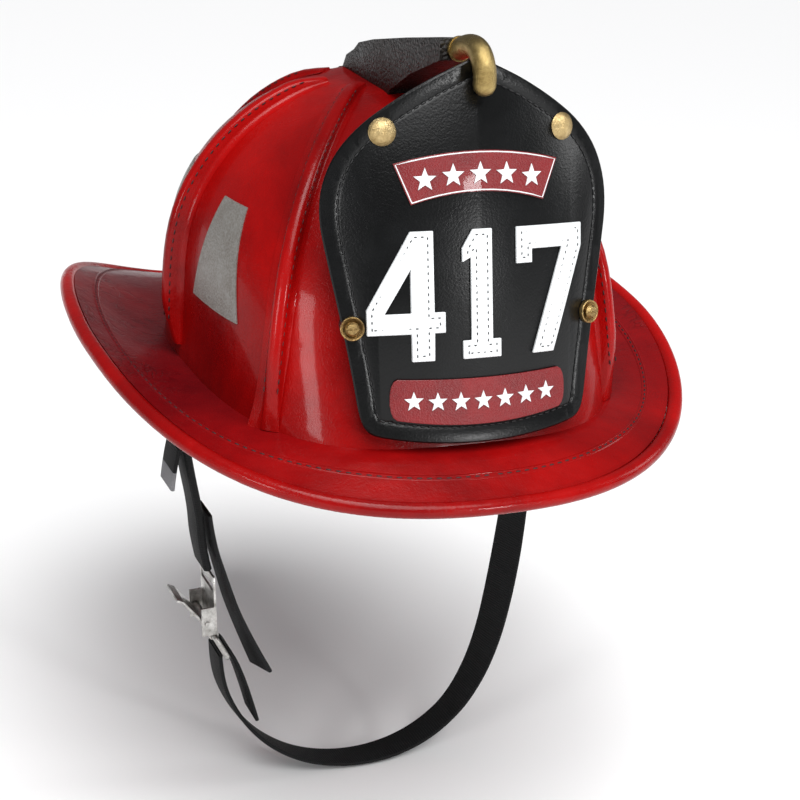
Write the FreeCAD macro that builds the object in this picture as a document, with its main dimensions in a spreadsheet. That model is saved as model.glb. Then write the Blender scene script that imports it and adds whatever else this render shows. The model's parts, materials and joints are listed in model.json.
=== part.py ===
import FreeCAD, Part
import functools
import math
import os
import Sketcher
from FreeCAD import Placement, Rotation, Vector

# Firefighter's leather helmet. Millimetres, +Z up, the front towards -Y, the wearer's right towards -X.
# The origin is midway between the two side rivets, at the height where the crown meets the brim.

SIZES = {
    # crown shell
    "crown_half_width": 96.5,
    "crown_front": 124.0,
    "crown_front_height": 141.0,
    "crown_rear": 101.0,
    "crown_rear_height": 141.0,
    "crown_top": 137.0,
    "crown_middle": 4.0,
    "crown_shoulder": 50.0,
    "crown_flare": 15.0,
    "leather": 3.5,
    # combs along the seams of the gores
    "comb_height": 9.0,
    "low_comb_height": 5.0,
    "comb_width": 5.0,
    "comb_toe": 6.0,
    "comb_end_radius": 24.0,
    # brim
    "brim_half_width": 147.0,
    "brim_front": 174.0,
    "brim_rear": 213.0,
    "brim_thickness": 4.0,
    "edge_roll_radius": 3.2,
    # frontpiece
    "shield_lean": 12.6,
    "shield_radius": 180.0,
    "shield_thickness": 3.2,
    "panel_thickness": 1.0,
    "numeral_thickness": 1.6,
    "rivet_radius": 6.0,
    "screw_radius": 2.0,
    "cup_radius": 5.2,
    # frontpiece holder
    "holder_width": 18.0,
    "hook_radius": 5.0,
    # liner and suspension
    "cap_thickness": 2.5,
    "foam_thickness": 9.5,
    "head_middle": -13.0,
    "band_half_width": 80.0,
    "band_half_length": 98.0,
    "band_height": 30.0,
    "band_low": -22.0,
    "band_thickness": 1.6,
    "webbing_width": 19.0,
    "webbing_thickness": 1.2,
    # ratchet at the nape
    "ratchet_depth": 88.0,
    "ratchet_level": -19.0,
    "pinion_radius": 4.0,
    "rack_height": 6.0,
    "rack_thickness": 1.6,
    "knob_radius": 15.0,
    "knob_length": 12.0,
    # side tabs, rings and chin strap
    "tab_reach": 91.0,
    "tab_thickness": 1.6,
    "pivot_level": -12.0,
    "ring_low": -43.0,
    "hanger_depth": 150.0,
    "hanger_level": -13.5,
    "ring_radius": 11.0,
    "ring_wire": 1.6,
    "strap_width": 20.0,
    "strap_thickness": 2.0,
}

doc = FreeCAD.newDocument("helmet")
sheet = doc.addObject("Spreadsheet::Sheet", "sizes")
for row, (alias, value) in enumerate(SIZES.items(), start=1):
    sheet.set(f"A{row}", alias)
    sheet.set(f"B{row}", str(value))
    sheet.setAlias(f"B{row}", alias)
doc.recompute()

NODES = []


def mm(alias):
    return float(sheet.get(alias))


def node(item, name):
    """Names an object as one of the kept sub-parts."""
    item.Label = name
    NODES.append(item)
    return item


def feature(name, shape, placement=None):
    """A sub-part whose shape is computed here from the sizes in the sheet."""
    item = doc.addObject("Part::Feature", name)
    item.Shape = shape
    item.Placement = placement or shape.Placement
    return node(item, name)


def primitive(kind, name, at, axis=None, **sizes):
    """A Part primitive whose properties are bound to the sheet, with its own Z turned along axis."""
    item = doc.addObject(kind, name)
    for prop, formula in sizes.items():
        item.setExpression(prop, formula)
    item.Placement = Placement(at, Rotation(Vector(0, 0, 1), axis or Vector(0, 0, 1)))
    return item


def fused(name, shapes):
    item = doc.addObject("Part::MultiFuse", name)
    item.Shapes = shapes
    return item


def cut(name, base, *tools):
    """Base less every tool in turn; the last cut carries the name."""
    for index, tool in enumerate(tools, start=1):
        less = doc.addObject("Part::Cut", name if index == len(tools) else f"{name}_less_{index}")
        less.Base = base
        less.Tool = tool
        base = less
    return base


def polygon(points):
    return Part.Face(Part.makePolygon([Vector(*p) for p in points + points[:1]]))


def closed_spline(points):
    curve = Part.BSplineCurve()
    curve.interpolate(points, PeriodicFlag=True)
    return Part.Wire([curve.toShape()])


def open_spline(points):
    curve = Part.BSplineCurve()
    curve.interpolate(points)
    return curve.toShape()


def mirrored(shape):
    return shape.mirror(Vector(0, 0, 0), Vector(1, 0, 0))


def moved(shape, place):
    shape.Placement = place * shape.Placement
    return shape


# ---------------------------------------------------------------- crown


def dome(level, reach, height, power):
    return reach * math.sqrt(max(0.0, 1 - (max(level, 0.0) / height) ** power))


def crown_radius(level, heading):
    """Distance from the crown's upright middle axis to its outer surface. heading 0 is the front."""
    shoulder = mm("crown_shoulder")
    over = max(level - shoulder, 0.0) / (mm("crown_top") + 0.5 - shoulder)
    under = max(shoulder - level, 0.0) / shoulder
    width = mm("crown_half_width") * math.sqrt(max(0.0, 1 - over**2)) + 0.6 * under**2
    if math.cos(heading) > 0:
        reach = dome(level, mm("crown_front"), mm("crown_front_height"), 2.6)
        reach += mm("crown_flare") * under**1.5 + mm("crown_middle")
        square = 3.2 - 0.9 * (max(level, 0.0) / mm("crown_top")) ** 2
    else:
        reach = dome(level, mm("crown_rear"), mm("crown_rear_height"), 2.3)
        reach -= mm("crown_middle")
        square = 2.1
    across = abs(math.sin(heading) / width) ** square
    along = abs(math.cos(heading) / reach) ** square
    return (across + along) ** (-1 / square)


def crown_point(level, heading):
    radius = crown_radius(level, heading)
    return Vector(radius * math.sin(heading), mm("crown_middle") - radius * math.cos(heading), level)


CROWN_LEVELS = [-20, 0, 22, 48, 72, 93, 110, 123, 132, 136.5]


@functools.lru_cache(maxsize=None)
def crown_solid(inset):
    """The whole volume under the crown's surface, drawn in by inset, down to well under the brim."""
    shrink = [1 - inset / mm(size) for size in ("crown_half_width", "crown_front", "crown_top")]
    wires = []
    for level in CROWN_LEVELS:
        ring = [crown_point(level, 2 * math.pi * step / 36) for step in range(36)]
        wires.append(closed_spline([Vector(p.x * shrink[0], p.y * shrink[1], p.z * shrink[2]) for p in ring]))
    return Part.makeLoft(wires, True, False)


def above(shape, level):
    box = Part.makeBox(400, 500, 300, Vector(-200, -250, level))
    return shape.common(box)


def add_shell(name, outer_inset, thickness, level):
    """A dome-shaped wall between two drawn-in copies of the crown's surface, open below."""
    wall = above(crown_solid(outer_inset), level).cut(crown_solid(outer_inset + thickness))
    return feature(name, wall)


crown_outer = crown_solid(0)
screw_spots = [(-56.5, 53.5), (56.5, 53.5)]
shield_foot = Vector(0, -145.6, 5.9)
shield_place = Placement(shield_foot, Rotation(Vector(1, 0, 0), 90 - mm("shield_lean")))


def on_shield(x, y):
    """Placement on the frontpiece's curved face, with its local Z along the outward normal."""
    radius = mm("shield_radius")
    turn = math.asin(x / radius)
    at = Vector(x, y, radius * math.cos(turn) - radius)
    return shield_place * Placement(at, Rotation(Vector(0, 1, 0), math.degrees(turn)))


def shield_rods(radius, low, high, spots):
    """Straight rods square to the frontpiece's face, one at each spot."""
    rods = []
    for x, y in spots:
        rod = Part.makeCylinder(radius, high - low, Vector(0, 0, low))
        rod.Placement = on_shield(x, y)
        rods.append(rod)
    return rods


HOLDER_SCREWS = [(13, 144.5), (-6, 152.5)]
holder_lean = Vector(0, 0.3, 1)


def holder_rods(radius):
    """Rods from each holder screw's seat down to the crown's inner face."""
    rods = []
    for y, z in HOLDER_SCREWS:
        seat = Vector(0, y, z)
        drop = (z - mm("crown_top") + mm("leather") - 0.2) / holder_lean.z
        rod = Part.makeCylinder(radius, drop * holder_lean.Length, seat - holder_lean * drop, holder_lean)
        rods.append(rod)
    return rods


screw_depth = -20.0
fastener_holes = shield_rods(mm("screw_radius") + 0.05, screw_depth - 1, 6, screw_spots) + holder_rods(1.55)
crown = above(crown_outer, -1).cut(crown_solid(mm("leather"))).cut(fastener_holes)
feature("crown_shell", crown)

impact_inset = mm("leather") + 0.6
add_shell("impact_cap", impact_inset, mm("cap_thickness"), 4)
foam_inset = impact_inset + mm("cap_thickness") + 0.5
add_shell("foam_liner", foam_inset, mm("foam_thickness"), 14)

# ---------------------------------------------------------------- combs and patches

COMBS = {
    "comb_front": (0, "low_comb_height"),
    "comb_front_right": (-38, "comb_height"),
    "comb_side_right": (-86, "comb_height"),
    "comb_rear_right": (-138, "low_comb_height"),
    "comb_rear": (180, "low_comb_height"),
    "comb_rear_left": (138, "low_comb_height"),
    "comb_side_left": (86, "comb_height"),
    "comb_front_left": (38, "comb_height"),
}


def ridge_point(level, heading, full_height):
    """A point of the comb's ridge, standing off the crown square to its surface, as (radius, height)."""
    step = 0.5
    rise = full_height * (1 - 0.4 * (level / mm("crown_top")) ** 4)
    slope = (crown_radius(level + step, heading) - crown_radius(level - step, heading)) / (2 * step)
    steep = math.hypot(1, slope)
    return (
        crown_radius(level, heading) + rise / steep,
        level - slope * rise / steep,
    )


def add_comb(name, degrees, full_height):
    heading = math.radians(degrees)
    toe = 50.0 if degrees == 0 else mm("comb_toe")
    top_radius = 57.0 if degrees == 0 else mm("comb_end_radius")
    ridge = []
    levels = [toe + (mm("crown_top") - 4 - toe) * (step / 9) ** 0.8 for step in range(10)]
    for level in levels:
        radius, height = ridge_point(level, heading, full_height)
        if radius > top_radius + 4:
            ridge.append(Vector(radius, 0, height))
    last = ridge[-1]
    before = ridge[-2]
    rise = (last.z - before.z) / (before.x - last.x)
    end = Vector(top_radius, 0, last.z + 0.8 * rise * (last.x - top_radius))
    ridge.append(end)
    corners = [end, Vector(top_radius, 0, 100), Vector(60, 0, toe), ridge[0]]
    edges = [open_spline(ridge)] + [Part.makeLine(a, b) for a, b in zip(corners, corners[1:])]
    web = Part.Face(Part.Wire(edges)).extrude(Vector(0, mm("comb_width"), 0))
    web.translate(Vector(0, -mm("comb_width") / 2, 0))
    turn = Placement(Vector(0, mm("crown_middle"), 0), Rotation(Vector(0, 0, 1), degrees - 90))
    return feature(name, moved(web, turn).cut(crown_outer))


for comb_name, (comb_heading, comb_size) in COMBS.items():
    add_comb(comb_name, comb_heading, mm(comb_size))

PATCHES = {"front_side": 61, "rear_side": 112, "rear": 159}
patch_skin = crown_solid(-0.6).cut(crown_outer)


def add_patch(name, degrees):
    """A trapezoid of retroreflective tape that follows the gore."""
    trapezoid = polygon([(60, -22, 42), (60, 22, 42), (60, 10, 90), (60, -10, 90)])
    block = trapezoid.extrude(Vector(90, 0, 0))
    block.Placement = Placement(Vector(0, mm("crown_middle"), 0), Rotation(Vector(0, 0, 1), degrees - 90))
    return feature(name, patch_skin.common(block))


for patch_name, patch_heading in PATCHES.items():
    add_patch(f"reflective_patch_{patch_name}_right", -patch_heading)
    add_patch(f"reflective_patch_{patch_name}_left", patch_heading)

# ---------------------------------------------------------------- brim


def signed_power(value, power):
    return math.copysign(abs(value) ** power, value)


def brim_edge(turn, inset=0.0):
    """The brim's outline: 0 is the front. The sides turn up, the front dips, the rear drops furthest."""
    cosine = math.cos(turn)
    x = -(mm("brim_half_width") - inset) * signed_power(math.sin(turn), 0.87)
    if cosine > 0:
        y = -(mm("brim_front") - inset) * signed_power(cosine, 0.87)
    else:
        y = -(mm("brim_rear") - inset) * signed_power(cosine, 1.14)
    z = 0.5 + 2 * cosine - 20.5 * math.cos(2 * turn) + 7 * math.cos(3 * turn)
    return Vector(x, y, z)


def brim_point(turn, share, drop=0.0):
    """share 0 is the crown's wall and 1 is the outer edge."""
    edge = brim_edge(turn, 2 * mm("edge_roll_radius") + 0.3)
    heading = math.atan2(edge.x, mm("crown_middle") - edge.y)
    seam = crown_point(3, heading)
    curl = max(share, 0.0) ** 1.35
    return Vector(
        seam.x + (edge.x - seam.x) * share,
        seam.y + (edge.y - seam.y) * share,
        seam.z + (edge.z - seam.z) * curl + drop,
    )


def brim_ring(share, drop):
    return closed_spline([brim_point(2 * math.pi * step / 48, share, drop) for step in range(48)])


def add_brim():
    shares = [-0.12, 0.2, 0.6, 1.0]
    top = [brim_ring(share, 0.0) for share in shares]
    under = [brim_ring(share, -mm("brim_thickness")) for share in shares]
    skins = [Part.makeLoft(top, False, False), Part.makeLoft(under, False, False)]
    skins += [Part.makeRuledSurface(top[0], under[0]), Part.makeRuledSurface(top[-1], under[-1])]
    shell = Part.Shell([face for skin in skins for face in skin.Faces])
    shell.sewShape()
    solid = Part.makeSolid(shell)
    if solid.Volume < 0:
        solid.reverse()
    return feature("brim", solid.cut(crown_outer))


def add_edge_roll():
    """The leather rolled round the brim's edge, as a closed loft of discs."""
    discs = []
    radius = mm("edge_roll_radius")
    angles = [2 * math.pi * step / 8 for step in range(8)]
    for step in range(48):
        turn = 2 * math.pi * step / 48
        middle = brim_edge(turn, radius) - Vector(0, 0, mm("brim_thickness") / 2)
        ahead = brim_edge(turn + 0.01, radius) - brim_edge(turn - 0.01, radius)
        out = Vector(ahead.y, -ahead.x, 0)
        out.normalize()
        up = out.cross(ahead)
        up.normalize()
        ring = [middle + out * radius * math.cos(a) + up * radius * math.sin(a) for a in angles]
        discs.append(closed_spline(ring))
    return feature("brim_edge_roll", Part.makeLoft(discs, True, False, True))


add_brim()
add_edge_roll()

# ---------------------------------------------------------------- frontpiece

SHIELD_SIDE = [
    (0, 166.5),
    (9, 163.2),
    (22, 157.5),
    (38, 148.6),
    (52, 139),
    (62.5, 127),
    (68, 113),
    (68.8, 99),
    (66.2, 84),
    (62.5, 64),
    (59, 45),
    (56, 26),
    (54.5, 15),
]
SHIELD_CORNER = (52, 8.2)
SHIELD_BASE = (46, 5)


def curved_sheet(outline, inner, outer):
    """The part of a cylinder wall between two radii that stands under an outline in the XY plane."""
    radius = mm("shield_radius")
    middle = Vector(0, -20, -radius)
    wall = Part.makeCylinder(radius + outer, 220, middle, Vector(0, 1, 0))
    wall = wall.cut(Part.makeCylinder(radius + inner, 220, middle, Vector(0, 1, 0)))
    block = outline.extrude(Vector(0, 0, 60))
    block.translate(Vector(0, 0, -45))
    return wall.common(block)


def arc(a, b, c):
    return Part.Arc(Vector(*a, 0), Vector(*b, 0), Vector(*c, 0)).toShape()


def flip(point):
    return (-point[0], point[1])


def shield_outline():
    right = [Vector(x, y, 0) for x, y in SHIELD_SIDE]
    left = [Vector(-p.x, p.y, 0) for p in right]
    ends = SHIELD_SIDE[-1]
    edges = [
        open_spline(right),
        arc(ends, SHIELD_CORNER, SHIELD_BASE),
        arc(SHIELD_BASE, (0, 0), flip(SHIELD_BASE)),
        arc(flip(SHIELD_BASE), flip(SHIELD_CORNER), flip(ends)),
        open_spline(left),
    ]
    return Part.Face(Part.Wire(Part.__sortEdges__(edges)))


def arched_panel(low_corner, low_middle, high_corner, high_middle):
    """A band with straight ends and arched long sides."""
    edges = [
        arc(flip(low_corner), (0, low_middle), low_corner),
        Part.makeLine(Vector(*low_corner, 0), Vector(*high_corner, 0)),
        arc(high_corner, (0, high_middle), flip(high_corner)),
        Part.makeLine(Vector(*flip(high_corner), 0), Vector(*flip(low_corner), 0)),
    ]
    return Part.Face(Part.Wire(edges))


NUMERALS = {
    "numeral_four": [(-50.9, 50), (-32, 50), (-32, 38), (-22, 38), (-22, 50), (-17, 50), (-17, 59),
                     (-22, 59), (-22, 94), (-32, 94), (-50.9, 61)],
    "numeral_one": [(-9, 38), (9, 38), (9, 46), (5, 46), (5, 94), (-4, 94), (-9, 86), (-9, 80),
                    (-5, 82), (-5, 46), (-9, 46)],
    "numeral_seven": [(25, 38), (36, 38), (52, 84), (52, 94), (17, 94), (17, 78), (25, 78), (25, 84),
                      (41, 84)],
}
FOUR_WINDOW = [(-43.5, 59), (-32, 59), (-32, 78)]
rivet_spots = [(-42.4, 136.3), (42.4, 136.3)]

shield = curved_sheet(shield_outline(), -mm("shield_thickness"), 0)
for hole in shield_rods(mm("screw_radius") + 0.05, -8, 6, screw_spots) + shield_rods(1.65, -8, 6, rivet_spots):
    hole.Placement = shield_place.inverse() * hole.Placement
    shield = shield.cut(hole)
# a scoop in the tip, where the hook passes over the leather
tip_scoop = Part.makeCylinder(mm("hook_radius") + 0.8, 20, Vector(0, 169, -10))
feature("shield_leather", shield.cut(tip_scoop), shield_place)

upper_scroll = arched_panel((31.1, 105.2), 110, (38.4, 122.8), 127.5)
lower_scroll = arched_panel((42, 13.3), 8.8, (41.5, 30.7), 29.2)
feature("upper_scroll", curved_sheet(upper_scroll, 0, mm("panel_thickness")), shield_place)
feature("lower_scroll", curved_sheet(lower_scroll, 0, mm("panel_thickness")), shield_place)
for numeral_name, numeral_outline in NUMERALS.items():
    face = polygon([(x, y, 0) for x, y in numeral_outline])
    if numeral_name == "numeral_four":
        face = face.cut(polygon([(x, y, 0) for x, y in FOUR_WINDOW]))
    feature(numeral_name, curved_sheet(face, 0, mm("numeral_thickness")), shield_place)


def add_rivets():
    """Brass rivets with domed heads, and a burr on the back of the leather."""
    solids = []
    radius = mm("rivet_radius")
    rise = 3.0
    ball = (radius**2 + rise**2) / (2 * rise)
    for x, y in rivet_spots:
        # the head seats 0.1 clear of the curved leather
        cap = Part.makeSphere(ball, Vector(0, 0, rise - ball + 0.1))
        cap = cap.common(Part.makeCylinder(radius, 10, Vector(0, 0, 0.1)))
        back = -mm("shield_thickness") - 1.4
        shank = Part.makeCylinder(1.6, 0.2 - back, Vector(0, 0, back))
        burr = Part.makeCylinder(3.5, 1.2, Vector(0, 0, back))
        rivet = cap.fuse([shank, burr])
        rivet.Placement = on_shield(x, y)
        solids.append(rivet)
    return feature("shield_rivets", Part.makeCompound(solids))


def add_screw_stack():
    """Each screw passes a cup washer, the frontpiece and a leather spacer, and bites the crown."""
    washers = []
    screws = []
    spacers = []
    hole = mm("screw_radius") + 0.05
    cup = mm("cup_radius")
    for x, y in screw_spots:
        washer = Part.makeCone(cup, cup - 1.8, 2.2, Vector(0, 0, 0.15))
        washer = washer.cut(Part.makeCylinder(hole, 9, Vector(0, 0, -2)))
        head = Part.makeCone(cup - 2, cup - 3, 1.6, Vector(0, 0, 2.45))
        slot = Part.makeBox(12, 0.8, 2, Vector(-6, -0.4, 3.3))
        shank = Part.makeCylinder(mm("screw_radius"), 2.5 - screw_depth, Vector(0, 0, screw_depth))
        spacer = Part.makeCylinder(cup, 30, Vector(0, 0, -30 - mm("shield_thickness") - 0.3))
        spacer = spacer.cut(Part.makeCylinder(hole, 40, Vector(0, 0, -35)))
        for shape in (washer, head, slot, shank, spacer):
            shape.Placement = on_shield(x, y)
        inside = crown_solid(mm("leather") + 0.1)
        washers.append(washer)
        screws.append(head.fuse(shank).cut(slot).cut(inside))
        spacers.append(spacer.cut(crown_outer))
    feature("shield_cup_washers", Part.makeCompound(washers))
    feature("shield_screws", Part.makeCompound(screws))
    feature("shield_spacers", Part.makeCompound(spacers))


add_rivets()
add_screw_stack()

# ---------------------------------------------------------------- frontpiece holder

HOLDER_PROFILE = [
    (25, 136),
    (20.5, 143),
    (11, 147.5),
    (5, 152),
    (-13, 157),
    (-52, 165.5),
    (-89, 172.5),
    (-90, 163),
    (-60, 151),
    (-36, 138),
    (-30, 120),
    (20, 120),
]


def add_holder():
    """The leather-covered bracket that rides the crown's top and reaches out to the hook."""
    half = mm("holder_width") / 2
    profile = polygon([(-half, y, z) for y, z in HOLDER_PROFILE])
    body = profile.extrude(Vector(mm("holder_width"), 0, 0))
    body = body.cut(crown_outer)
    body = max(body.Solids, key=lambda solid: solid.Volume)
    screws = []
    for (y, z), shank in zip(HOLDER_SCREWS, holder_rods(1.5)):
        screws.append(shank.fuse(Part.makeCone(3.4, 2.2, 1.6, Vector(0, y, z), holder_lean)))
    pockets = [Part.makeCylinder(3.6, 12, Vector(0, y, z), holder_lean) for y, z in HOLDER_SCREWS]
    feature("front_holder", body.cut(pockets + holder_rods(1.55)))
    feature("holder_screws", Part.makeCompound(screws))


HOOK_SPINE = [(-91.2, 168.2), (-97, 170.4), (-104, 171.9), (-111.2, 170.6), (-116.3, 165.5), (-118, 158.5)]


def add_hook():
    """The brass hook: a round rod out of the holder's nose that bends down over the frontpiece's tip."""
    radius = mm("hook_radius")
    points = [Vector(0, y, z) for y, z in HOOK_SPINE]
    bend = open_spline(points)
    ahead = bend.tangentAt(bend.FirstParameter)
    disc = Part.Wire(Part.makeCircle(radius, points[0], ahead))
    rod = Part.Wire(bend).makePipeShell([disc], True, False)
    nose = Part.makeSphere(radius, points[-1])
    collar = Part.makeCylinder(radius + 0.6, 1.6, Vector(0, -89.7, 168), Vector(0, -1, 0.1))
    feature("holder_hook", rod.fuse([nose, collar]))


add_holder()
add_hook()

# ---------------------------------------------------------------- headband and crown straps


def oval(half_width, half_length, low, height):
    ellipse = Part.Ellipse(Vector(0, 0, low), half_length, half_width)
    face = Part.Face(Part.Wire(ellipse.toShape()))
    solid = face.extrude(Vector(0, 0, height))
    solid.rotate(Vector(0, 0, 0), Vector(0, 0, 1), 90)
    solid.translate(Vector(0, mm("head_middle"), 0))
    return solid


def add_headband():
    """The band runs round the head and stops either side of the nape; the brow pad lines its front."""
    thick = mm("band_thickness")
    width = mm("band_half_width")
    length = mm("band_half_length")
    low = mm("band_low")
    ring = oval(width, length, low, mm("band_height")).cut(oval(width - thick, length - thick, low - 1, 40))
    gap = Part.makeBox(84, 60, 60, Vector(-42, mm("head_middle") + 60, -40))
    feature("headband", ring.cut(gap))
    pad = oval(width - thick - 0.2, length - thick - 0.2, low + 2, 26)
    pad = pad.cut(oval(width - thick - 3.7, length - thick - 3.7, low - 1, 40))
    feature("brow_pad", pad.common(Part.makeBox(200, 120, 60, Vector(-100, mm("head_middle") - 150, -40))))


def add_crown_straps():
    """Three webbing arches cross over the head, each a little above the last, between six hangers."""
    hangers = []
    flat = mm("webbing_thickness")
    half = mm("webbing_width") / 2
    foot = mm("band_low") + mm("band_height") + 16
    for index, degrees in enumerate((0, 60, 120)):
        rise = 84 + 2.4 * index
        heading = math.radians(degrees)
        across = mm("band_half_width") * math.sin(heading)
        along = mm("band_half_length") * math.cos(heading)
        reach = math.hypot(across, along) - 3.5
        place = Placement(Vector(0, mm("head_middle"), 0), Rotation(Vector(0, 0, 1), degrees + 90))
        edges = []
        for less in (0, flat):
            feet = [Vector(reach - less, 0, foot), Vector(less - reach, 0, foot)]
            edges.append(Part.Arc(feet[0], Vector(0, 0, rise - less), feet[1]).toShape())
        for side in (-1, 1):
            edges.append(Part.makeLine(Vector(side * reach, 0, foot), Vector(side * (reach - flat), 0, foot)))
            hanger = Part.makeBox(4, 24, 15.4, Vector(side * (reach - 0.6) - 2, -12, foot - 15.6))
            hangers.append(moved(hanger, place))
        arch = Part.Face(Part.Wire(Part.__sortEdges__(edges))).extrude(Vector(0, 2 * half, 0))
        arch.translate(Vector(0, -half, 0))
        feature(f"crown_strap_{index + 1}", moved(arch, place))
    feature("strap_hangers", Part.makeCompound(hangers))


add_headband()
add_crown_straps()

# ---------------------------------------------------------------- ratchet at the nape


def add_tails():
    """The headband's two tails end in racks: the right one runs under the pinion, the left one over it."""
    depth = mm("ratchet_depth")
    level = mm("ratchet_level")
    offset = mm("pinion_radius") + 0.6
    for name, side, low in (("right", -1, level - offset - mm("rack_height")), ("left", 1, level + offset)):
        rack_start = -8 if side > 0 else -50
        tang_start = 38 if side > 0 else -50
        rack = primitive("Part::Box", f"rack_{name}", Vector(rack_start, depth, low),
                         Length="58", Width="sizes.rack_thickness", Height="sizes.rack_height")
        tang = primitive("Part::Box", f"tang_{name}", Vector(tang_start, depth, level - 12),
                         Length="12", Width="sizes.rack_thickness", Height="24")
        node(fused(f"headband_tail_{name}", [rack, tang]), f"headband_tail_{name}")


def add_ratchet_housing():
    depth = mm("ratchet_depth")
    level = mm("ratchet_level")
    case = primitive("Part::Box", "ratchet_case", Vector(-30, depth - 2.2, level - 13),
                     Length="60", Width="sizes.rack_thickness + 4.4", Height="26")
    room = primitive("Part::Box", "ratchet_room", Vector(-35, depth - 0.6, level - 11.4),
                     Length="70", Width="sizes.rack_thickness + 1.2", Height="22.8")
    bore = primitive("Part::Cylinder", "ratchet_bore", Vector(0, depth, level), Vector(0, 1, 0),
                     Radius="2.5", Height="10")
    node(cut("ratchet_housing", case, room, bore), "ratchet_housing")


def add_pinion():
    """The pinion turns with the knob; its spindle runs through the housing's bore."""
    depth = mm("ratchet_depth")
    level = mm("ratchet_level")
    wheel = primitive("Part::Cylinder", "pinion_wheel", Vector(0, depth - 0.3, level), Vector(0, 1, 0),
                      Radius="sizes.pinion_radius", Height="sizes.rack_thickness + 0.6")
    spindle = primitive("Part::Cylinder", "pinion_spindle", Vector(0, depth - 0.3, level), Vector(0, 1, 0),
                        Radius="2.44", Height="sizes.rack_thickness + 3.4")
    node(fused("ratchet_pinion", [wheel, spindle]), "ratchet_pinion")


def add_knob():
    """A round knob with twelve finger grooves round its rim."""
    body = doc.addObject("PartDesign::Body", "ratchet_knob")
    plane = next(f for f in body.Origin.OriginFeatures if f.Role == "XZ_Plane")
    disc = body.newObject("Sketcher::SketchObject", "knob_disc")
    disc.AttachmentSupport = [(plane, "")]
    disc.MapMode = "FlatFace"
    disc.addGeometry(Part.Circle(Vector(0, 0, 0), Vector(0, 0, 1), mm("knob_radius")), False)
    disc.addConstraint(Sketcher.Constraint("Coincident", 0, 3, -1, 1))
    disc.addConstraint(Sketcher.Constraint("Radius", 0, mm("knob_radius")))
    disc.setExpression("Constraints[1]", "sizes.knob_radius")
    pad = body.newObject("PartDesign::Pad", "knob_pad")
    pad.Profile = disc
    pad.Reversed = True
    pad.setExpression("Length", "sizes.knob_length")
    doc.recompute()
    groove = body.newObject("Sketcher::SketchObject", "knob_groove")
    groove.AttachmentSupport = [(plane, "")]
    groove.MapMode = "FlatFace"
    groove.addGeometry(Part.Circle(Vector(mm("knob_radius") + 0.8, 0, 0), Vector(0, 0, 1), 2.2), False)
    pocket = body.newObject("PartDesign::Pocket", "knob_pocket")
    pocket.Profile = groove
    pocket.Type = "ThroughAll"
    pocket.Midplane = True
    doc.recompute()
    grooves = body.newObject("PartDesign::PolarPattern", "knob_grooves")
    grooves.Originals = [pocket]
    grooves.Axis = (groove, ["N_Axis"])
    grooves.Angle = 360
    grooves.Occurrences = 12
    body.Tip = grooves
    body.Placement = Placement(Vector(0, mm("ratchet_depth") + 5.1, mm("ratchet_level")), Rotation())
    node(body, "ratchet_knob")


def add_nape_pad():
    block = primitive("Part::Box", "nape_block", Vector(-33, mm("ratchet_depth") - 8, mm("ratchet_level") - 15),
                      Length="66", Width="5", Height="sizes.band_height + 4")
    doc.recompute()
    pad = doc.addObject("Part::Fillet", "nape_pad")
    pad.Base = block
    pad.Edges = [(index + 1, 2.0, 2.0) for index in range(len(block.Shape.Edges))]
    node(pad, "nape_pad")


add_tails()
add_ratchet_housing()
add_pinion()
add_knob()
add_nape_pad()

# ---------------------------------------------------------------- side tabs, rings and rivets

RIVET_HOLE = 2.05


def tapered_plate(half_width, low, high):
    """Outline in the YZ plane: a plate that narrows to a round head at its top."""
    head = 6.0
    edges = [
        Part.makeLine(Vector(0, -half_width, low), Vector(0, half_width, low)),
        Part.makeLine(Vector(0, half_width, low), Vector(0, half_width, low + 9)),
        Part.makeLine(Vector(0, half_width, low + 9), Vector(0, head, high - head)),
        Part.Arc(Vector(0, head, high - head), Vector(0, 0, high), Vector(0, -head, high - head)).toShape(),
        Part.makeLine(Vector(0, -head, high - head), Vector(0, -half_width, low + 9)),
        Part.makeLine(Vector(0, -half_width, low + 9), Vector(0, -half_width, low)),
    ]
    return Part.Face(Part.Wire(edges))


def add_side_gear(name, side):
    """A fixed steel tab inside the crown's edge, and the slotted ring plate that swings on its rivet."""
    reach = mm("tab_reach")
    level = mm("pivot_level")
    thick = mm("tab_thickness")
    hole = Part.makeCylinder(RIVET_HOLE, 20, Vector(reach - 8, 0, level), Vector(1, 0, 0))
    tab = Part.makeBox(thick, 16, 21, Vector(reach, -8, level - 6))
    tab = tab.cut(hole)
    low = mm("ring_low")
    plate = tapered_plate(14, low, level + 6).extrude(Vector(thick, 0, 0))
    slot = Part.makeBox(20, mm("strap_width") + 1.6, 4.4, Vector(0, -mm("strap_width") / 2 - 0.8, 0))
    plate.translate(Vector(reach + thick + 0.3, 0, 0))
    slot.translate(Vector(reach - 5, 0, low + 3.6))
    plate = plate.cut(slot).cut(hole)
    if side < 0:
        tab = mirrored(tab)
        plate = mirrored(plate)
    feature(f"side_tab_{name}", tab)
    feature(f"side_ring_{name}", plate)


def rivet(start, grip, heading):
    """A rivet with a low head at each end; grip is the length between the heads."""
    body = Part.makeCylinder(RIVET_HOLE - 0.05, grip + 1, start - heading * 0.5, heading)
    near = Part.makeCylinder(3.6, 1.0, start - heading, heading)
    far = Part.makeCylinder(3.6, 1.0, start + heading * grip, heading)
    return body.fuse([near, far])


def add_tab_rivets():
    grip = 2 * mm("tab_thickness") + 0.6
    start = Vector(mm("tab_reach") - 0.15, 0, mm("pivot_level"))
    left = rivet(start, grip, Vector(1, 0, 0))
    feature("tab_rivets", Part.makeCompound([left, mirrored(left)]))


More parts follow.
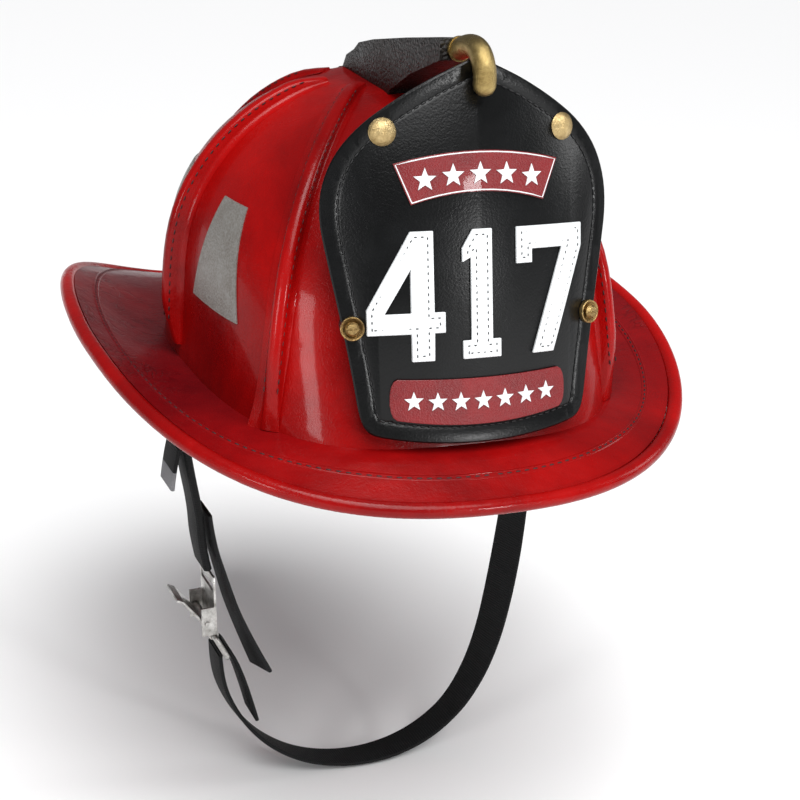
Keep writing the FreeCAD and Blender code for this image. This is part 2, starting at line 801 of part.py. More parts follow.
def add_hanger():
    """A tab under the rear of the brim with a D-shaped ring, by which the helmet is hung up."""
    wire = mm("ring_wire")
    near = brim_point(math.pi, 0.28, -mm("brim_thickness"))
    far = brim_point(math.pi, 0.6, -mm("brim_thickness"))
    slope = math.degrees(math.atan2(far.z - near.z, far.y - near.y))
    plate = Part.makeBox(11, 24, 1.4, Vector(-5.5, 0, -1.6))
    plate.Placement = Placement(near, Rotation(Vector(1, 0, 0), slope))
    pivot = near + Vector(0, 1.5, -3.2 - wire)
    eye = Part.makeCylinder(wire + 1.5, 9, pivot - Vector(4.5, 0, 0), Vector(1, 0, 0))
    bore = Part.makeCylinder(wire + 0.08, 20, pivot - Vector(10, 0, 0), Vector(1, 0, 0))
    feature("hanger_tab", plate.fuse(eye).cut(bore))
    reach = Vector(mm("ring_radius"), 0, 0)
    bar = primitive("Part::Cylinder", "ring_bar", pivot - reach, Vector(1, 0, 0),
                    Radius="sizes.ring_wire", Height="2 * sizes.ring_radius")
    bow = primitive("Part::Torus", "ring_bow", pivot, Radius1="sizes.ring_radius", Radius2="sizes.ring_wire")
    bow.Angle3 = 180
    bow.Placement = Placement(pivot, Rotation(Vector(1, 0, 0), -90))
    ends = []
    for side in (-1, 1):
        corner = primitive("Part::Sphere", "ring_corner", pivot + reach * side, Radius="sizes.ring_wire * 1.05")
        ends.append(corner)
    node(fused("hanger_ring", [bar, bow] + ends), "hanger_ring")


add_side_gear("right", -1)
add_side_gear("left", 1)
add_tab_rivets()
add_hanger()

# ---------------------------------------------------------------- chin strap

LOWER_ROUTE = [
    (-72.6, -163),
    (-71.5, -177),
    (-66, -193),
    (-56, -210),
    (-42, -225),
    (-23, -237),
    (0, -243.5),
    (25, -243.5),
    (48, -236),
    (67, -221),
    (79, -200),
    (86, -177),
    (90, -152),
    (92.7, -127),
    (94.4, -101),
    (95.8, -74),
    (93.8, -43.5),
]
FOLD_ROUTE = [(-66.4, -163), (-62, -172), (-56.5, -187), (-51, -205)]
UPPER_ROUTE = [(-93.6, -43.5), (-90.5, -60), (-85.5, -82), (-84, -99), (-80.5, -112.5)]
TAIL_ROUTE = [(-80.5, -82), (-78, -98), (-71.5, -118), (-62.5, -146), (-47, -178)]
TIP_ROUTE = [(-97.2, -44), (-99.3, -54), (-100.2, -66)]


def smooth_path(route):
    """Straight runs joined by the largest tangent arcs that leave a tenth of each run straight."""
    points = [Vector(x, 0, z) for x, z in route]
    edges = []
    start = points[0]
    for before, here, after in zip(points, points[1:], points[2:]):
        back = before - here
        on = after - here
        cut = 0.45 * min(back.Length, on.Length)
        turn = math.pi - back.getAngle(on)
        back.normalize()
        on.normalize()
        radius = cut / math.tan(turn / 2)
        inward = back + on
        inward.normalize()
        middle = here + inward * (radius / math.cos(turn / 2) - radius)
        edges.append(Part.makeLine(start, here + back * cut))
        edges.append(Part.Arc(here + back * cut, middle, here + on * cut).toShape())
        start = here + on * cut
    edges.append(Part.makeLine(start, points[-1]))
    return Part.Wire(edges)


def webbing(route, plies=1):
    """Flat webbing swept along a route in the XZ plane, its width along Y."""
    path = smooth_path(route)
    half = mm("strap_width") / 2
    first = path.Edges[0]
    ahead = first.tangentAt(first.FirstParameter)
    side = Vector(ahead.z, 0, -ahead.x) * (plies * mm("strap_thickness") / 2)
    start = first.valueAt(first.FirstParameter)
    corners = [start + side * i + Vector(0, half * j, 0) for i, j in ((1, 1), (1, -1), (-1, -1), (-1, 1))]
    section = Part.makePolygon(corners + corners[:1])
    band = path.makePipeShell([section], True, False)
    expected = path.Length * 2 * half * plies * mm("strap_thickness")
    print(f"  webbing {path.Length:.1f} long, volume {band.Volume:.0f}, section times length {expected:.0f}")
    return band


def add_foldback():
    """The strap's end, turned back over the loop's bar and sewn to the hanging run."""
    run = webbing(FOLD_ROUTE)
    middle_x = (LOWER_ROUTE[0][0] + FOLD_ROUTE[0][0]) / 2
    half = mm("strap_width") / 2
    centre = Vector(middle_x, -half, LOWER_ROUTE[0][1])
    gauge = abs(FOLD_ROUTE[0][0] - LOWER_ROUTE[0][0]) / 2
    outer = Part.makeCylinder(gauge + 1, 2 * half, centre, Vector(0, 1, 0))
    inner = Part.makeCylinder(gauge - 1, 2 * half, centre, Vector(0, 1, 0))
    turn = above(outer.cut(inner), LOWER_ROUTE[0][1] + 0.05)
    return feature("chin_strap_foldback", run.fuse(turn).removeSplitter())


feature("chin_strap_lower", webbing(LOWER_ROUTE))
add_foldback()
feature("chin_strap_upper", webbing(UPPER_ROUTE, plies=2))
feature("chin_strap_tail", webbing(TAIL_ROUTE))
feature("strap_tip", webbing(TIP_ROUTE))

# ---------------------------------------------------------------- buckle

BUCKLE_TILT = -4
buckle_place = Placement(Vector(-81, 0, -142), Rotation(Vector(0, 1, 0), BUCKLE_TILT))
loop_bar = Vector(-69.5, 0, -163)


def add_buckle_body():
    """A folded steel frame: a back plate with a slot for the webbing, two cheeks and a barrel."""
    half = mm("strap_width") / 2 + 1.6
    gauge = 1.2
    plate = Part.makeBox(gauge, 2 * half, 33, Vector(4, -half, -7))
    slot = Part.makeBox(9, 2 * half - 3, 4.5, Vector(1, 1.5 - half, 17))
    cheeks = []
    for low in (-half, half - gauge):
        cheeks.append(Part.makeBox(8, gauge, 16, Vector(-2.8, low, -7)))
    barrel = Part.makeCylinder(2.6, 2 * half - 6, Vector(4, 3 - half, -9), Vector(0, 1, 0))
    pin_hole = Part.makeCylinder(1.25, 40, Vector(0, -20, 0), Vector(0, 1, 0))
    bar_hole = Part.makeCylinder(1.56, 40, Vector(4, -20, -9), Vector(0, 1, 0))
    frame = plate.fuse(cheeks + [barrel]).cut(slot).cut(pin_hole).cut(bar_hole)
    feature("buckle_body", frame, buckle_place)


def add_buckle_lever():
    """The release lever, standing open, on a pin through the cheeks."""
    width = mm("strap_width") - 1
    barrel = Part.makeCylinder(2.3, width, Vector(0, -width / 2, 0), Vector(0, 1, 0))
    blade = Part.makeBox(1.2, width, 17.5, Vector(-1.9, -width / 2, 0.5))
    lip = Part.makeBox(1.2, width, 4, Vector(-1.9, -width / 2, 17.0))
    lip.rotate(Vector(-1.9, 0, 17.5), Vector(0, 1, 0), -25)
    lever = barrel.fuse([blade, lip]).cut(Part.makeCylinder(1.26, 40, Vector(0, -20, 0), Vector(0, 1, 0)))
    place = Placement(Vector(-81, 0, -142), Rotation(Vector(0, 1, 0), -40))
    feature("buckle_lever", lever, place)
    pin_end = Vector(-81, -mm("strap_width") / 2 - 2, -142)
    pin = primitive("Part::Cylinder", "buckle_pin", pin_end, Vector(0, 1, 0),
                    Height="sizes.strap_width + 4", Radius="1.2")
    node(pin, "buckle_pin")


def add_buckle_loop():
    """A rectangular ring of round wire that the hanging strap is turned over."""
    half = mm("strap_width") / 2 + 3.2
    corner = 2.6
    top = buckle_place.multVec(Vector(4, 0, -9))
    down = loop_bar - top
    drop = down.Length
    edges = []
    corners = [(half, 0), (half, -drop), (-half, -drop), (-half, 0)]
    for index, (y, z) in enumerate(corners):
        here = Vector(0, y, z)
        back = (Vector(0, *corners[index - 1]) - here).normalize() * corner
        on = (Vector(0, *corners[(index + 1) % 4]) - here).normalize() * corner
        middle = here + (back + on) * (1 - math.sqrt(0.5))
        edges.append(Part.Arc(here + back, middle, here + on).toShape())
    for before, after in zip(edges, edges[1:] + edges[:1]):
        edges.append(Part.makeLine(before.Vertexes[-1].Point, after.Vertexes[0].Point))
    spine = Part.Wire(Part.__sortEdges__(edges))
    disc = Part.Wire(Part.makeCircle(1.5, spine.Edges[0].Vertexes[0].Point, spine.Edges[0].tangentAt(0)))
    ring = spine.makePipeShell([disc], True, False)
    lean = math.degrees(math.atan2(-down.x, -down.z))
    feature("buckle_loop", ring, Placement(top, Rotation(Vector(0, 1, 0), lean)))


add_buckle_body()
add_buckle_lever()
add_buckle_loop()

# ---------------------------------------------------------------- checks and files

doc.recompute()
for item in doc.Objects:
    if {"Invalid", "Error"} & set(item.State):
        raise RuntimeError(f"{item.Label} failed to compute")
for item in NODES:
    if item.Shape.isNull() or not item.Shape.isValid() or item.Shape.Volume <= 0:
        raise RuntimeError(f"{item.Label} has no valid solid")
os.makedirs("parts", exist_ok=True)
for item in NODES:
    item.Shape.exportStep(f"parts/{item.Label}.step")
    box = item.Shape.BoundBox
    print(f"{item.Label:28s} {len(item.Shape.Solids)} solids  {item.Shape.Volume:10.0f}  {box}")
print(len(NODES), "nodes")
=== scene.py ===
import bmesh
import bpy
import json
import math
from mathutils import Matrix, Vector
from mathutils.bvhtree import BVHTree

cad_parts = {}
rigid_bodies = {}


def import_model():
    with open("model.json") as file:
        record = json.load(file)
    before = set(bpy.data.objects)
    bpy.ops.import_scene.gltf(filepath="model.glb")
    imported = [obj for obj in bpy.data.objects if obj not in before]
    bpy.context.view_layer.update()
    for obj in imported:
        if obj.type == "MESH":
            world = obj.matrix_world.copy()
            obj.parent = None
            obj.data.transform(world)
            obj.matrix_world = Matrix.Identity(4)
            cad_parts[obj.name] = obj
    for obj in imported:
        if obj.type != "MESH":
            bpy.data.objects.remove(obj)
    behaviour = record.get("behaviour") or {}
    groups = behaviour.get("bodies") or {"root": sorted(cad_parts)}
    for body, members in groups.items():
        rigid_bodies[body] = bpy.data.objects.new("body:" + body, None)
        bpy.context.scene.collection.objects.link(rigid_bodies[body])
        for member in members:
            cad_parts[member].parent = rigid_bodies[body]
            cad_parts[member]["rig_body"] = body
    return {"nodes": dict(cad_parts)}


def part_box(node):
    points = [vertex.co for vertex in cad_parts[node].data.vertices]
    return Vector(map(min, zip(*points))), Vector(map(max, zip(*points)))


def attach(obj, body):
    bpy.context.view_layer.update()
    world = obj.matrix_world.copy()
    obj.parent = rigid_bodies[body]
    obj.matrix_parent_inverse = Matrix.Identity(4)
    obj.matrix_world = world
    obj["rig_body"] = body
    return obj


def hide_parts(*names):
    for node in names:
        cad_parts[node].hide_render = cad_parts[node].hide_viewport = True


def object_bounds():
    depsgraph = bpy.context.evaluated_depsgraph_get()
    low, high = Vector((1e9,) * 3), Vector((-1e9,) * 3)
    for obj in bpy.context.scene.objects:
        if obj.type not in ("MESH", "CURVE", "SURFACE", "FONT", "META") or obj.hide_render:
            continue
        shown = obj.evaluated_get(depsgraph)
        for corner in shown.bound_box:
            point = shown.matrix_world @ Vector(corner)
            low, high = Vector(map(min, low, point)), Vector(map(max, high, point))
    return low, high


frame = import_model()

cad_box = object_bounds()
nodes = frame["nodes"]

# ---------------------------------------------------------------- studio
# A plain pale floor just under the hanging strap, and a camera on the wearer's right, a little above.
# Soft boxes stand overhead, in front and at both sides, in a nearly white room.

view_side = math.radians(23.7)
view_height = math.radians(21.4)
view_roll = math.radians(3.9)
view_distance = 0.9845
back = Vector((-math.sin(view_side) * math.cos(view_height),
               -math.cos(view_side) * math.cos(view_height), math.sin(view_height)))
level = Vector((math.cos(view_side), -math.sin(view_side), 0))
upright = back.cross(level)
right = level * math.cos(view_roll) + upright * math.sin(view_roll)
above = upright * math.cos(view_roll) - level * math.sin(view_roll)
eye = Vector((0, 0.020, -0.036)) + level * 0.029 + back * view_distance

camera_data = bpy.data.cameras.new("camera")
camera_data.lens = 85
camera_data.sensor_width = 36
camera = bpy.data.objects.new("camera", camera_data)
camera.matrix_world = Matrix.Translation(eye) @ Matrix((right, above, back)).transposed().to_4x4()
bpy.context.collection.objects.link(camera)
bpy.context.scene.camera = camera


def soft_box(name, place, size, power):
    """A square area light that faces the helmet."""
    data = bpy.data.lights.new(name, "AREA")
    data.shape = "SQUARE"
    data.size = size
    data.energy = power
    box = bpy.data.objects.new(name, data)
    box.matrix_world = Matrix.Translation(place) @ Vector(place).to_track_quat("Z", "Y").to_matrix().to_4x4()
    bpy.context.collection.objects.link(box)


soft_box("light_over", (-0.2, -0.5, 1.3), 0.5, 4)
soft_box("light_front", (0.72, -1.9, 0.30), 0.22, 9)
soft_box("light_right", (-1.5, -0.9, 0.35), 0.4, 6)
soft_box("light_left", (1.5, -0.3, 0.6), 0.5, 4)

sun_data = bpy.data.lights.new("light_sky", "SUN")
sun_data.energy = 3.1
sun_data.angle = math.radians(50)
sun = bpy.data.objects.new("light_sky", sun_data)
sun.matrix_world = Vector((-0.05, -0.55, 1)).to_track_quat("Z", "Y").to_matrix().to_4x4()
bpy.context.collection.objects.link(sun)

world = bpy.data.worlds.new("white_room")
world.use_nodes = True
world.node_tree.nodes["Background"].inputs["Color"].default_value = (0.95, 0.96, 1.0, 1)
world.node_tree.nodes["Background"].inputs["Strength"].default_value = 0.16
bpy.context.scene.world = world
bpy.context.scene.view_settings.view_transform = "Standard"


def principled(name):
    """A new material, its node tree and its shader."""
    material = bpy.data.materials.new(name)
    material.use_nodes = True
    return material, material.node_tree, material.node_tree.nodes["Principled BSDF"]


def new_piece(name, mesh, material):
    """Turns a bmesh into an object at the origin."""
    data = bpy.data.meshes.new(name)
    mesh.to_mesh(data)
    mesh.free()
    data.materials.append(material)
    piece = bpy.data.objects.new(name, data)
    bpy.context.collection.objects.link(piece)
    return piece


floor_paint, _, floor_shader = principled("floor_paint")
floor_shader.inputs["Base Color"].default_value = (0.94, 0.94, 0.94, 1)
floor_shader.inputs["Roughness"].default_value = 0.9
ground = bmesh.new()
bmesh.ops.create_grid(ground, x_segments=1, y_segments=1, size=6)
bmesh.ops.translate(ground, vec=(0, 0, cad_box[0][2] - 0.001), verts=ground.verts)
new_piece("floor", ground, floor_paint)

# ---------------------------------------------------------------- crown
# Eight gores of cowhide, wet-formed, glued edge to edge and painted with glossy red urethane.
# The paint varies at random between a deeper and a brighter red, with a fine grain and a few faint scuffs.


def add_node(tree, kind, links=None, values=None, **settings):
    """A shader node with its settings, its inputs' values and the sockets linked to its inputs."""
    made = tree.nodes.new(kind)
    for name, value in settings.items():
        setattr(made, name, value)
    for name, value in (values or {}).items():
        made.inputs[name].default_value = value
    for name, source in (links or {}).items():
        tree.links.new(source, made.inputs[name])
    return made


def object_place(tree):
    return add_node(tree, "ShaderNodeTexCoord").outputs["Object"]


def noise(tree, place, scale, detail=4.0, rough=0.6, warp=0.0):
    made = add_node(tree, "ShaderNodeTexNoise", {"Vector": place},
                    {"Scale": scale, "Detail": detail, "Roughness": rough, "Distortion": warp})
    return made.outputs["Fac"]


def cells(tree, place, scale, feature="F1"):
    made = add_node(tree, "ShaderNodeTexVoronoi", {"Vector": place}, {"Scale": scale}, feature=feature)
    return made.outputs["Distance"]


def sums(tree, kind, first, second):
    """A Math node; each side is a socket or a number."""
    made = add_node(tree, "ShaderNodeMath", operation=kind)
    for index, side in enumerate((first, second)):
        if isinstance(side, (int, float)):
            made.inputs[index].default_value = side
        else:
            tree.links.new(side, made.inputs[index])
    return made.outputs[0]


def ramp(tree, source, *stops):
    """A colour ramp from (position, colour) stops."""
    made = add_node(tree, "ShaderNodeValToRGB", {"Fac": source})
    while len(made.color_ramp.elements) < len(stops):
        made.color_ramp.elements.new(0.5)
    for element, (position, colour) in zip(made.color_ramp.elements, stops):
        element.position = position
        element.color = (*colour, 1)
    return made.outputs["Color"]


def grey(value):
    return (value, value, value)


def blend_colours(tree, share, first, second):
    made = add_node(tree, "ShaderNodeMix", {"Factor": share}, data_type="RGBA")
    for socket, side in ((made.inputs[6], first), (made.inputs[7], second)):
        if isinstance(side, tuple):
            socket.default_value = (*side, 1)
        else:
            tree.links.new(side, socket)
    return made.outputs[2]


def add_bump(tree, shader, height, distance):
    bump = add_node(tree, "ShaderNodeBump", {"Height": height}, {"Distance": distance})
    tree.links.new(bump.outputs["Normal"], shader.inputs["Normal"])


def red_leather(name, deep, bright, gloss, rear_shade_and_wear=None):
    """Painted leather. The optional last argument is the (deep, bright) of a darker, duller red that takes
    over towards the rear: painted shade and dull reflection, crossed by fine cracks of wear.
    """
    leather, tree, shader = principled(name)
    place = object_place(tree)
    clouds = noise(tree, place, 11.0, 5.0, 0.62, 0.4)
    colour = ramp(tree, clouds, (0.32, deep), (0.68, bright))
    grain = sums(tree, "MULTIPLY", cells(tree, place, 1300.0), 0.12)
    soft = sums(tree, "MULTIPLY", noise(tree, place, 70.0, 5.0, 0.7), 0.9)
    height = sums(tree, "ADD", grain, soft)
    if rear_shade_and_wear:
        # Towards the rear the colour turns to a darker, duller red: painted shade and dull reflection. The
        # cracks over it are wear.
        depth = add_node(tree, "ShaderNodeSeparateXYZ", {"Vector": place}).outputs["Y"]
        behind = add_node(tree, "ShaderNodeMapRange", {"Value": depth},
                          {"From Min": -0.15, "From Max": 0.0}).outputs[0]
        colour = blend_colours(tree, behind, colour, ramp(tree, clouds, (0.32, rear_shade_and_wear[0]), (0.68, rear_shade_and_wear[1])))
        bent = add_node(tree, "ShaderNodeVectorMath", {0: place, 1: add_node(
            tree, "ShaderNodeTexNoise", {"Vector": place}, {"Scale": 26.0, "Detail": 3.0}).outputs["Color"]},
            {2: (0.02, 0.02, 0.02)}, operation="MULTIPLY_ADD")
        creases = cells(tree, bent.outputs[0], 260.0, "DISTANCE_TO_EDGE")
        crack = ramp(tree, creases, (0.0, grey(1.0)), (0.12, grey(0.0)))
        patchy = ramp(tree, noise(tree, place, 17.0, 5.0, 0.7), (0.48, grey(0.0)), (0.66, grey(0.8)))
        shown = sums(tree, "MULTIPLY", sums(tree, "MULTIPLY", crack, patchy), behind)
        colour = blend_colours(tree, shown, colour, tuple(0.35 * c for c in rear_shade_and_wear[0]))
        height = sums(tree, "SUBTRACT", height, shown)
    tree.links.new(colour, shader.inputs["Base Color"])
    add_bump(tree, shader, height, 0.0006)
    smears = noise(tree, place, 34.0, 6.0, 0.7, 0.8)
    rough = ramp(tree, smears, (0.35, grey(gloss)), (0.72, grey(gloss + 0.17)))
    tree.links.new(rough, shader.inputs["Roughness"])
    shader.inputs["Specular IOR Level"].default_value = 0.10
    shader.inputs["Coat Weight"].default_value = 0.20
    shader.inputs["Coat Roughness"].default_value = 0.10
    return leather


def dress(material, *names):
    """A CAD node that keeps its shape and takes a new finish."""
    for name in names:
        nodes[name].data.materials.clear()
        nodes[name].data.materials.append(material)


crown_red = red_leather("crown_red", (0.15, 0.0010, 0.0014), (0.38, 0.0024, 0.0020), 0.25)
dress(crown_red, "crown_shell")

# ---------------------------------------------------------------- combs
# Raised leather fins over the seams between the gores, folded from one strip: a flared foot on each
# side and a standing ridge, sewn through just below its top with dark waxed thread.

crown_middle = 0.004
crown_top = 0.137
crown_surface = BVHTree.FromObject(nodes["crown_shell"], bpy.context.evaluated_depsgraph_get())
comb_section = [(-8.5, -0.7), (-5.6, 0.5), (-3.9, 1.3), (-3.3, 2.6), (-3.2, 5.6), (-2.5, 6.7), (-1.0, 7.2),
                (1.0, 7.2), (2.5, 6.7), (3.2, 5.6), (3.3, 2.6), (3.9, 1.3), (5.6, 0.5), (8.5, -0.7)]


def crown_spot(heading, rise):
    """The crown's outer surface, seen from its heart at a heading from the front and an angle up."""
    heart = Vector((0, crown_middle, 0.030))
    out = Vector((math.sin(heading) * math.cos(rise), -math.cos(heading) * math.cos(rise), math.sin(rise)))
    return crown_surface.ray_cast(heart + out * 0.4, -out)[0]


def place_at(point, ahead, outward, wide=1.0, tall=1.0):
    """The place of a section: its X across the run, its Y outward and its Z ahead."""
    ahead = ahead.normalized()
    across = outward.cross(ahead).normalized()
    outward = ahead.cross(across)
    turn = Matrix((across * wide, outward * tall, ahead)).transposed().to_4x4()
    return Matrix.Translation(point) @ turn


def draw_along(mesh, section, places, lengths=None):
    """Extrudes a closed section from each place to the next, and caps both ends."""
    across = mesh.verts.layers.float.get("across") or mesh.verts.layers.float.new("across")
    along = mesh.verts.layers.float.get("along") or mesh.verts.layers.float.new("along")
    verts = [mesh.verts.new(places[0] @ Vector((x, y, 0))) for x, y in section]
    for vert, (x, y) in zip(verts, section):
        vert[across] = x
    ring = mesh.faces.new(verts).edges[:]
    for index in range(1, len(places)):
        grown = bmesh.ops.extrude_edge_only(mesh, edges=ring)["geom"]
        verts = [item for item in grown if isinstance(item, bmesh.types.BMVert)]
        ring = [item for item in grown if isinstance(item, bmesh.types.BMEdge) and item.is_boundary]
        bmesh.ops.transform(mesh, matrix=places[index] @ places[index - 1].inverted(), verts=verts)
        for vert in verts:
            vert[along] = lengths[index] if lengths else index
    bmesh.ops.holes_fill(mesh, edges=ring)
    bmesh.ops.recalc_face_normals(mesh, faces=mesh.faces)


def smooth(mesh, limit=40):
    """Smooth shading, with edges sharper than limit degrees left crisp."""
    for face in mesh.faces:
        face.smooth = True
    for edge in mesh.edges:
        edge.smooth = edge.calc_face_angle(0) < math.radians(limit)


def runs_through(points, outward):
    """Section places through points, each with its own outward direction."""
    places = []
    for index, point in enumerate(points):
        ahead = points[min(index + 1, len(points) - 1)] - points[max(index - 1, 0)]
        places.append(place_at(point, ahead, outward[index]))
    return places


def sew(mesh, points, outward, pitch, length, thick):
    """Stitches along a line: short slugs of thread, pitch apart."""
    left_over = pitch / 2
    for here, there, out in zip(points, points[1:], outward):
        step = (there - here).length
        while left_over < step:
            place = place_at(here.lerp(there, left_over / step), there - here, out)
            slug = place @ Matrix.Diagonal((thick, thick * 0.7, length / 2, 1))
            bmesh.ops.create_uvsphere(mesh, u_segments=6, v_segments=4, radius=1, matrix=slug)
            left_over += pitch
        left_over -= step


def thread(name, colour):
    """Waxed thread, a little fuzzy and dirty."""
    waxed, tree, shader = principled(name)
    fuzz = noise(tree, object_place(tree), 900.0, 3.0)
    dark = tuple(0.4 * c for c in colour)
    tree.links.new(ramp(tree, fuzz, (0.3, dark), (0.7, colour)), shader.inputs["Base Color"])
    shader.inputs["Roughness"].default_value = 0.6
    add_bump(tree, shader, fuzz, 0.0001)
    return waxed


def comb_path(degrees, toe_rise, top_rise):
    heading = math.radians(degrees)
    rises = [math.radians(toe_rise + (top_rise - toe_rise) * step / 26) for step in range(27)]
    points = [crown_spot(heading, rise) for rise in rises]
    side = Vector((math.cos(heading), math.sin(heading), 0))
    outward = []
    for index in range(len(points)):
        ahead = points[min(index + 1, len(points) - 1)] - points[max(index - 1, 0)]
        outward.append(side.cross(ahead).normalized())
    return points, outward, side


comb_red = red_leather("comb_red", (0.16, 0.0011, 0.0014), (0.40, 0.0028, 0.0024), 0.24)
comb_thread = thread("comb_thread", (0.05, 0.006, 0.008))
combs = {"comb_front": (0, 5.0), "comb_front_right": (-38, 9.0), "comb_side_right": (-86, 9.0),
         "comb_rear_right": (-138, 5.0), "comb_rear": (180, 5.0), "comb_rear_left": (138, 5.0),
         "comb_side_left": (86, 9.0), "comb_front_left": (38, 9.0)}
comb_stitches = bmesh.new()
for comb_name, (degrees, comb_height) in combs.items():
    toe_rise, top_rise = (9, 58) if degrees == 0 else (-11.5, 76)
    points, outward, side = comb_path(degrees, toe_rise, top_rise)
    heights = [comb_height / 7.2 * (1 - 0.4 * (point.z / crown_top) ** 4) for point in points]
    places = []
    for index, place in enumerate(runs_through(points, outward)):
        tall = heights[index] * min(1.0, 0.3 + 0.2 * index, 0.4 + 0.25 * (len(points) - 1 - index))
        wide = 1.0 + 0.35 * math.exp(-index / 1.2)
        places.append(place @ Matrix.Diagonal((0.001 * wide, 0.001 * tall, 1, 1)))
    fin = bmesh.new()
    draw_along(fin, comb_section, places)
    smooth(fin, 50)
    comb = new_piece(f"{comb_name}_leather", fin, comb_red)
    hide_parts(comb_name)
    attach(comb, "helmet")
    for way in (-1, 1):
        row = [point + out * 0.0053 * tall + side * way * 0.0032
               for point, out, tall in zip(points[2:-2], outward[2:-2], heights[2:-2])]
        sew(comb_stitches, row, [side * way] * len(row), 0.0042, 0.0026, 0.00042)
smooth(comb_stitches, 180)
comb_sewing = new_piece("comb_stitches", comb_stitches, comb_thread)
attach(comb_sewing, "helmet")

# ---------------------------------------------------------------- reflective patches
# Trapezoids of grey retroreflective tape on the gores. Fine prism cells catch the light, and the
# tape has picked up patches of brown dirt and a few scratches.


def reflective_tape():
    tape, tree, shader = principled("reflective_tape")
    place = object_place(tree)
    dirt = noise(tree, place, 32.0, 6.0, 0.72, 0.5)
    colour = ramp(tree, dirt, (0.28, (0.12, 0.095, 0.075)), (0.5, (0.19, 0.175, 0.155)),
                  (0.8, (0.27, 0.26, 0.24)))
    prism = cells(tree, place, 900.0)
    tree.links.new(blend_colours(tree, sums(tree, "MULTIPLY", prism, 0.55), colour, (0.33, 0.33, 0.32)),
                   shader.inputs["Base Color"])
    scratches = add_node(tree, "ShaderNodeTexWave", {"Vector": place},
                         {"Scale": 60.0, "Distortion": 14.0, "Detail": 4.0, "Detail Scale": 2.5})
    lines = ramp(tree, scratches.outputs["Fac"], (0.0, grey(0.6)), (0.06, grey(0.38)))
    tree.links.new(lines, shader.inputs["Roughness"])
    shader.inputs["Metallic"].default_value = 0.25
    add_bump(tree, shader, prism, 0.00015)
    return tape


tape = reflective_tape()
for side in ("right", "left"):
    for spot in ("front_side", "rear_side", "rear"):
        dress(tape, f"reflective_patch_{spot}_{side}")

# ---------------------------------------------------------------- brim
# One wide piece of thick leather under a satin red coat that has crackled with wear, its edge rolled
# in a glossy strip. A groove between two low ridges holds sewing, 17.5 mm inside the edge.

brim_half_width = 0.147
brim_front = 0.174
brim_rear = 0.213


def brim_edge(turn, inset):
    """The brim's outline from above, drawn in by inset; turn 0 is the front."""
    wave = math.cos(turn)
    curve = 0.87 if wave > 0 else 1.14
    reach = brim_front if wave > 0 else brim_rear
    x = (brim_half_width - inset) * math.copysign(abs(math.sin(turn)) ** 0.87, math.sin(turn))
    y = (reach - inset) * math.copysign(abs(wave) ** curve, wave)
    return Vector((-x, -y, 0))


# The brim's rear half is painted a darker, duller red: painted shade and dull reflection, with fine cracks of
# wear.
brim_red = red_leather("brim_red", (0.15, 0.0012, 0.0016), (0.37, 0.0026, 0.0024), 0.27,
                       ((0.080, 0.0028, 0.0055), (0.18, 0.0048, 0.0075)))
lip_red = red_leather("lip_red", (0.17, 0.0014, 0.0018), (0.40, 0.0032, 0.0028), 0.22)
dress(brim_red, "brim")
lip = bmesh.new()
lip.from_mesh(nodes["brim_edge_roll"].data)
bmesh.ops.remove_doubles(lip, verts=lip.verts, dist=2e-6)
lip.normal_update()
for vert in lip.verts:
    vert.co += vert.normal * 0.0004
smooth(lip, 60)
edge_strip = new_piece("edge_strip", lip, lip_red)
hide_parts("brim_edge_roll")
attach(edge_strip, "helmet")

brim_surface = BVHTree.FromObject(nodes["brim"], bpy.context.evaluated_depsgraph_get())
row = []
row_outward = []
for step in range(241):
    start = brim_edge(2 * math.pi * step / 240, 0.0175) + Vector((0, 0, 0.2))
    point, facing, _, _ = brim_surface.ray_cast(start, Vector((0, 0, -1)))
    row.append(point)
    row_outward.append(facing)
brim_stitches = bmesh.new()
sew(brim_stitches, row, row_outward, 0.0044, 0.0028, 0.00045)
smooth(brim_stitches, 180)
brim_sewing = new_piece("brim_stitches", brim_stitches, thread("brim_thread", (0.045, 0.006, 0.009)))
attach(brim_sewing, "helmet")
welt = bmesh.new()
places = [place @ Matrix.Diagonal((0.001, 0.001, 1, 1)) for place in runs_through(row, row_outward)]
draw_along(welt, [(-1.9, -0.4), (-1.5, 0.15), (-1.0, 0.3), (-0.6, -0.1), (0.6, -0.1), (1.0, 0.3), (1.5, 0.15),
                  (1.9, -0.4)], places)
smooth(welt, 60)
brim_groove = new_piece("brim_groove", welt, brim_red)
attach(brim_groove, "helmet")

# ---------------------------------------------------------------- liner and suspension
# Inside the crown sit a pressed black cap and a moulded foam liner. Three webbing arches cross over
# the head and clip to a plastic band, whose brow is lined with a quilted fabric pad.


def moulded_plastic(name, colour, rough, grain):
    """Moulded plastic with a fine spark texture and faint flow marks."""
    plastic, tree, shader = principled(name)
    place = object_place(tree)
    marks = noise(tree, place, 55.0, 5.0, 0.65)
    paler = tuple(c * 1.9 + 0.004 for c in colour)
    tree.links.new(ramp(tree, marks, (0.3, colour), (0.75, paler)), shader.inputs["Base Color"])
    sheen = ramp(tree, marks, (0.3, grey(rough)), (0.7, grey(rough + 0.15)))
    tree.links.new(sheen, shader.inputs["Roughness"])
    add_bump(tree, shader, cells(tree, place, grain), 0.00012)
    return plastic


def foam_beads():
    foam, tree, shader = principled("foam_beads")
    place = object_place(tree)
    beads = cells(tree, place, 330.0)
    tree.links.new(ramp(tree, beads, (0.1, (0.055, 0.055, 0.058)), (0.7, (0.022, 0.022, 0.024))),
                   shader.inputs["Base Color"])
    shader.inputs["Roughness"].default_value = 0.85
    add_bump(tree, shader, sums(tree, "MULTIPLY", beads, -1.0), 0.0008)
    return foam


